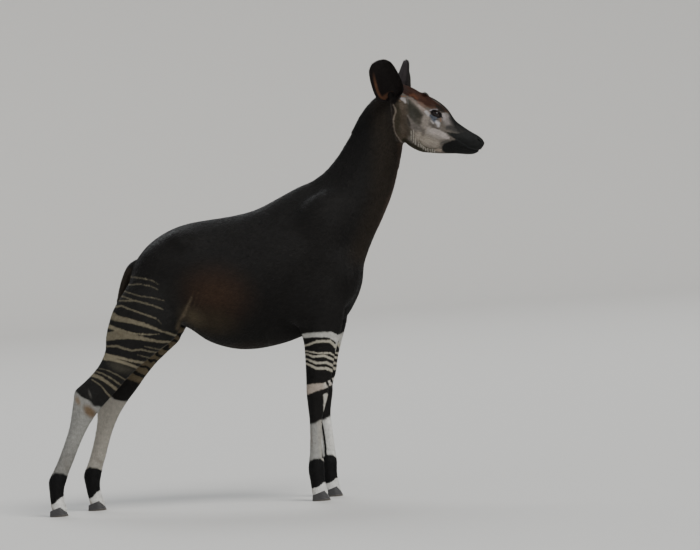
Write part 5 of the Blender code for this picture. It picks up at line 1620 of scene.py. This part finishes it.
def cut_openings(skin):
    """The eyes' sockets, the openings between the lids and the nostrils."""
    for side in SIDES.values():
        points, faces = ellipsoid(EYE_CENTRE, (EYE_RADIUS + EYE_GAP,) * 3, 0, side, 64, 48)
        boolean(skin, mesh_object("socket", points, faces), "DIFFERENCE")
        boolean(skin, make_eye_hole(side), "DIFFERENCE")
        points, faces = ellipsoid(NOSTRIL_CENTRE, NOSTRIL_RADII, NOSTRIL_TILT, side, 32, 20)
        boolean(skin, mesh_object("nostril", points, faces), "DIFFERENCE")


def make_skin():
    """The whole skin at the solids' level, with the ears told apart."""
    skin = make_flesh()
    refine_head(skin)
    shape_lids(skin.data)
    for line, width, depth in GROOVES.values():
        groove(skin.data, line, width, depth)
    skin.data.materials.append(label("flesh"))
    cut_openings(skin)
    for name in EAR_POSES:
        ear = make_ear(name)
        ear.data.materials.append(label("ear_" + name))
        boolean(skin, ear, "UNION")
    labels = ear_labels(skin.data)
    a, b = edge_ends(skin.data)
    seam = np.zeros(len(labels))
    crossing = (labels[a] > 0) != (labels[b] > 0)
    seam[a[crossing]] = 1
    seam[b[crossing]] = 1
    relax(skin.data, 12, spread(skin.data, seam, 5)[:, None])
    return skin, labels


def new_material(name, **settings):
    """A material whose shader has the given settings, and its node tree."""
    material = bpy.data.materials.new(name)
    material.use_nodes = True
    tree = material.node_tree
    for setting, value in settings.items():
        tree.nodes["Principled BSDF"].inputs[setting.replace("_", " ")].default_value = value
    return material, tree


def new_node(tree, kind, **settings):
    node = tree.nodes.new("ShaderNode" + kind)
    for setting, value in settings.items():
        node.inputs[setting.replace("_", " ")].default_value = value
    return node


def coat_material(name, bump):
    """Reads the coat's colour from the mesh, mottles it and gives it the sheen of short hair."""
    material, tree = new_material(name, Roughness=0.55, Specular_IOR_Level=0.13, Sheen_Weight=0.02,
                                  Sheen_Roughness=0.40)
    shader, link = tree.nodes["Principled BSDF"], tree.links.new
    colour = new_node(tree, "Attribute")
    colour.attribute_name = "coat"
    place = new_node(tree, "TexCoord")
    noise = new_node(tree, "TexNoise", Scale=60.0, Detail=4.0)
    link(place.outputs["Object"], noise.inputs["Vector"])
    level = new_node(tree, "MapRange", To_Min=0.80, To_Max=1.20)
    link(noise.outputs["Fac"], level.inputs["Value"])
    mottled = new_node(tree, "VectorMath")
    mottled.operation = "SCALE"
    link(colour.outputs["Color"], mottled.inputs[0])
    link(level.outputs["Result"], mottled.inputs["Scale"])
    link(mottled.outputs["Vector"], shader.inputs["Base Color"])
    if bump:
        grain = new_node(tree, "TexNoise", Scale=700.0, Detail=2.0)
        link(place.outputs["Object"], grain.inputs["Vector"])
        height = new_node(tree, "Bump", Strength=0.35, Distance=0.001)
        link(grain.outputs["Fac"], height.inputs["Height"])
        link(height.outputs["Normal"], shader.inputs["Normal"])
    return material


def eye_shade(angle, turn, u, v):
    """A dark ball whose iris has fine rays and whose pupil is a lying oval."""
    pupil = smoothstep((1 - math.hypot(u / PUPIL_RADII[0], v / PUPIL_RADII[1])) / 0.12)
    iris = smoothstep((IRIS_ANGLE - angle) / 0.06)
    brown = 0.8 + 0.35 * math.sin(turn * 37) * math.sin(turn * 11 + 1)
    shade = mixed(np.array((0.014, 0.011, 0.011)), iris, np.array((0.018, 0.009, 0.006)) * brown)
    return mixed(shade, pupil, np.array((0.004, 0.004, 0.005)))


def make_eye(side_name, material):
    """An eyeball with a bulging cornea, its pole looking out of the head."""
    along, up, out = eye_axes()
    points, colours = [], []
    for r in range(EYE_RINGS + 1):
        angle = math.pi * r / EYE_RINGS
        radius = EYE_RADIUS - EYE_GAP + CORNEA_HEIGHT * smoothstep(1 - angle / IRIS_ANGLE)
        for i in range(EYE_SIDES):
            turn = 2 * math.pi * i / EYE_SIDES
            u = math.sin(angle) * math.cos(turn)
            v = math.sin(angle) * math.sin(turn)
            p = Vector(EYE_CENTRE) + (along * u + up * v + out * math.cos(angle)) * radius
            points.append((p.x, SIDES[side_name] * p.y, p.z))
            colours.append(eye_shade(angle, turn, u, v))
    place = turned(np.array(points)) + frame_shift()
    eye = mesh_object("eyeball_" + side_name, place, band_faces(EYE_RINGS + 1, EYE_SIDES))
    eye.data.shade_smooth()
    set_colours(eye.data, np.array(colours))
    eye.data.materials.append(material)
    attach(eye, "root")
    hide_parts("eye_" + side_name)


def hoof_across(c, s, share, inset):
    """How far a point of a claw's outline is from the cleft, where c and s give its way round."""
    inner_part = HOOF_INNER_PART * HOOF_WIDTH
    if s > 0:
        across = inner_part + (HOOF_WIDTH - inner_part - inset) * s**0.8 * (1 - 0.10 * share)
    else:
        across = inner_part - (inner_part - inset) * abs(s) ** 0.6 * (1 - 0.05 * share)
    return max(across - TOE_TURN * HOOF_WIDTH * max(c, 0) ** 2, 0.0)


def make_hoof(kind, side_name, claw, material):
    """One claw with growth rings, a worn toe and a flat sole with a rounded edge."""
    side = SIDES[side_name]
    middle, y = foot_place(kind, side)
    outward = 1 if claw == "outer" else -1
    levels = [(0.0, 0.0022, 0.0), (0.0, 0.0006, 0.0012)]
    levels += [(share, 0.0, 0.0) for share in np.linspace(0.05, 1.0, HOOF_RINGS)]
    points, shades = [], []
    for share, inset, lift in levels:
        growth = share * 2 * math.pi * GROWTH_RINGS
        inset += GROWTH_RING_DEPTH * (1 - math.cos(growth)) * (share < 0.97)
        inset += 0.0012 * smoothstep((share - 0.93) / 0.07)
        worn = smoothstep((0.25 - share) / 0.25)
        for i in range(HOOF_SIDES):
            angle = 2 * math.pi * i / HOOF_SIDES
            c, s = math.cos(angle), math.sin(angle)
            x = (HOOF_LENGTH / 2 - inset) * c
            x -= share * coronet(x, 0.0) * c * (TOE_SLOPE if c > 0 else HEEL_SLOPE)
            across = HOOF_CLEFT / 2 + hoof_across(c, s, share, inset)
            z = lift + share * (coronet(x, 0.0) - lift)
            points.append((middle + x, y + side * outward * across, z - SOLE_DEPTH))
            tone = 1 + 0.25 * math.sin(growth + 0.8 * math.sin(3 * angle))
            shades.append(mixed(np.array(HORN), 0.6 * worn, np.array(WORN_HORN)) * tone)
    name = f"claw_{kind}_{side_name}_{claw}"
    hoof = mesh_object(name, np.array(points) + frame_shift(), tube_faces(len(levels), HOOF_SIDES))
    hoof.data.shade_smooth()
    set_colours(hoof.data, np.array(shades))
    hoof.data.materials.append(material)
    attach(hoof, "root")
    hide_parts(f"hoof_{kind}_{side_name}_{claw}")


def make_tuft(material):
    """The tail's long hair, which leaves the dock all round and hangs down in pointed locks."""
    random = np.random.default_rng(SEED + 1)
    count = TAIL_HAIRS
    root = random.uniform(0, 1, count)
    height = TUFT_TOP - TUFT_ROOTS * root**0.8
    tip = np.interp(root, [0.0, 1.0], TUFT_TIPS) + random.uniform(-0.012, 0.020, count)
    angle = random.uniform(0, 2 * math.pi, count)
    lock = np.round(angle / (2 * math.pi) * TAIL_LOCKS) / TAIL_LOCKS * 2 * math.pi
    steps = np.linspace(0, 1, TAIL_HAIR_STEPS)
    dock = np.array(TAIL)[::-1]
    axis_x = np.interp(height, dock[:, 1], (dock[:, 0] + dock[:, 2]) / 2)
    paths = []
    for s in steps:
        bend = angle + (lock - angle) * s
        away = 0.011 + 0.014 * np.sin(math.pi * (0.10 + 0.72 * s)) * (0.6 + 0.5 * root)
        x = axis_x + (LOCK_AXIS - axis_x) * s + away * np.cos(bend)
        paths.append(np.stack([x, away * np.sin(bend), height + (tip - height) * s], axis=1))
    paths = np.stack(paths, axis=1) + frame_shift()
    sides = np.stack([-np.sin(angle), np.cos(angle), np.zeros(count)], axis=1)
    widths = TAIL_HAIR_WIDTH * (1 - 0.65 * steps[:-1]) * random.uniform(0.7, 1.2, (count, 1))
    shades = np.array((0.012, 0.010, 0.0095)) * random.uniform(0.6, 1.6, (count, 1))
    left, bottom, width, tall = UNWRAP[7]
    along = (height - DOCK_FOOT) / DOCK_HEIGHT
    spots = np.stack([left + width * angle / (2 * math.pi), bottom + tall * along], axis=1)
    piece = ribbons("tail_tuft", paths, sides, widths, shades, spots)
    piece.data.materials.append(material)
    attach(piece, "root")
    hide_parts("tail")


def make_lashes(side_name, material):
    """Dark lashes that stand out from the upper lid's edge and curl up."""
    random = np.random.default_rng(SEED + 2)
    along, up, out = (np.array(way) for way in eye_axes())
    turn = np.linspace(0.10, 0.90, LASHES) * math.pi + random.normal(0, 0.02, LASHES)
    u = 1.10 * EYE_HALF_LENGTH * np.cos(turn)[:, None]
    v = 1.10 * EYE_HALF_HEIGHT * np.sin(turn)[:, None]
    shell = EYE_RADIUS + LID_THICKNESS
    root = np.array(EYE_CENTRE) + u * along + v * up + np.sqrt(shell**2 - u**2 - v**2) * out
    length = LASH_LENGTH * random.uniform(0.7, 1.1, LASHES)[:, None]
    way = 0.80 * out + 0.10 * up + 14 * u * along
    steps = np.linspace(0, 1, 5)
    paths = np.stack([root + length * (way * s + 0.45 * up * s**2) for s in steps], axis=1)
    flip = np.array((1, SIDES[side_name], 1))
    sides = np.tile(along, (LASHES, 1)) * flip
    paths = turned((paths * flip).reshape(-1, 3)).reshape(paths.shape) + frame_shift()
    widths = np.tile(LASH_WIDTH * (1 - 0.5 * steps[:-1]), (LASHES, 1))
    spots = np.stack([0.1 + 0.8 * turn / math.pi, np.full(LASHES, 0.5)], axis=1)
    piece = ribbons("lashes_" + side_name, paths, sides, widths, np.tile(BLACK, (LASHES, 1)), spots)
    piece.data.materials.append(material)
    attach(piece, "root")


def make_camera():
    """A long lens at the photo's viewing angle, rolled with its horizon."""
    right, up, back = camera_axes()
    data = bpy.data.cameras.new("camera")
    data.sensor_width = SENSOR_WIDTH
    data.lens = PIXELS_PER_METRE * CAMERA_DISTANCE * SENSOR_WIDTH / IMAGE_WIDTH
    data.clip_end = 200.0
    camera = linked("camera", data)
    place = Matrix((right, up, back)).transposed().to_4x4()
    place.translation = Vector(np.array(CAMERA_TARGET) + frame_shift()) + back * CAMERA_DISTANCE
    camera.matrix_world = place
    bpy.context.scene.camera = camera


def make_stage(material):
    """A pale floor that curves up into a wall far out, all round, so that no edge shows."""
    profile = [(FLOOR_MIDDLE, 0.0), (FLOOR_RADIUS, 0.0)]
    for i in range(1, WALL_STEPS + 1):
        angle = math.pi / 2 * i / WALL_STEPS
        profile.append((FLOOR_RADIUS + WALL_CURVE * math.sin(angle), WALL_CURVE * (1 - math.cos(angle))))
    profile.append((FLOOR_RADIUS + WALL_CURVE, WALL_TOP))
    points = [(0.0, 0.0, 0.0)]
    for radius, height in profile:
        for i in range(WALL_SIDES):
            angle = 2 * math.pi * i / WALL_SIDES
            points.append((radius * math.cos(angle), radius * math.sin(angle), height))
    faces = [(0, 1 + i, 1 + (i + 1) % WALL_SIDES) for i in range(WALL_SIDES)]
    floor = mesh_object("floor", points, faces + band_faces(len(profile), WALL_SIDES, 1))
    floor.data.shade_smooth()
    floor.data.materials.append(material)


def make_lights():
    world = bpy.data.worlds.new("sky")
    bpy.context.scene.world = world
    world.use_nodes = True
    background = world.node_tree.nodes["Background"]
    background.inputs["Color"].default_value = (*SKY_COLOUR, 1.0)
    background.inputs["Strength"].default_value = SKY_STRENGTH
    for name, direction, energy, size, colour in SUNS:
        data = bpy.data.lights.new(name, "SUN")
        data.energy = energy
        data.angle = math.radians(size)
        data.color = colour
        linked(name, data).rotation_euler = Vector(direction).to_track_quat("Z", "Y").to_euler()


def plain_material(name, colour, roughness):
    material, _ = new_material(name, Base_Color=(*colour, 1.0), Roughness=roughness)
    return material


def surface_material(name, roughness):
    """A smooth surface in the mesh's own colours, such as an eye or a hoof."""
    material, tree = new_material(name, Roughness=roughness, Specular_IOR_Level=0.30)
    colour = new_node(tree, "Attribute")
    colour.attribute_name = "coat"
    tree.links.new(colour.outputs["Color"], tree.nodes["Principled BSDF"].inputs["Base Color"])
    return material


def main():
    skin, ear = make_skin()
    co, no = places(skin.data), normals(skin.data)
    co = co - no * coat_depth(co, ear)[:, None]
    put(skin.data, co)
    no = normals(skin.data)
    uv = unwrap(skin.data, co, ear)
    set_colours(skin.data, markings(co, no, ear))
    put(skin.data, turned(co) + frame_shift())
    skin.data.shade_smooth()
    skin.data.materials.clear()
    skin.data.materials.append(coat_material("hide", True))
    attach(skin, "root")
    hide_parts("torso", "neck", "head", "foreleg_right", "foreleg_left", "hindleg_right",
                "hindleg_left", "ear_right", "ear_left")
    hair = coat_material("hair", False)
    make_coat(skin, co, no, ear, uv, hair)
    make_tuft(hair)
    eye = surface_material("eye", 0.04)
    horn = surface_material("horn", 0.45)
    for side_name in SIDES:
        make_eye(side_name, eye)
        make_lashes(side_name, hair)
        for kind in ("fore", "hind"):
            for claw in ("outer", "inner"):
                make_hoof(kind, side_name, claw, horn)
    make_stage(plain_material("floor", FLOOR_COLOUR, 0.9))
    make_lights()
    make_camera()


main()
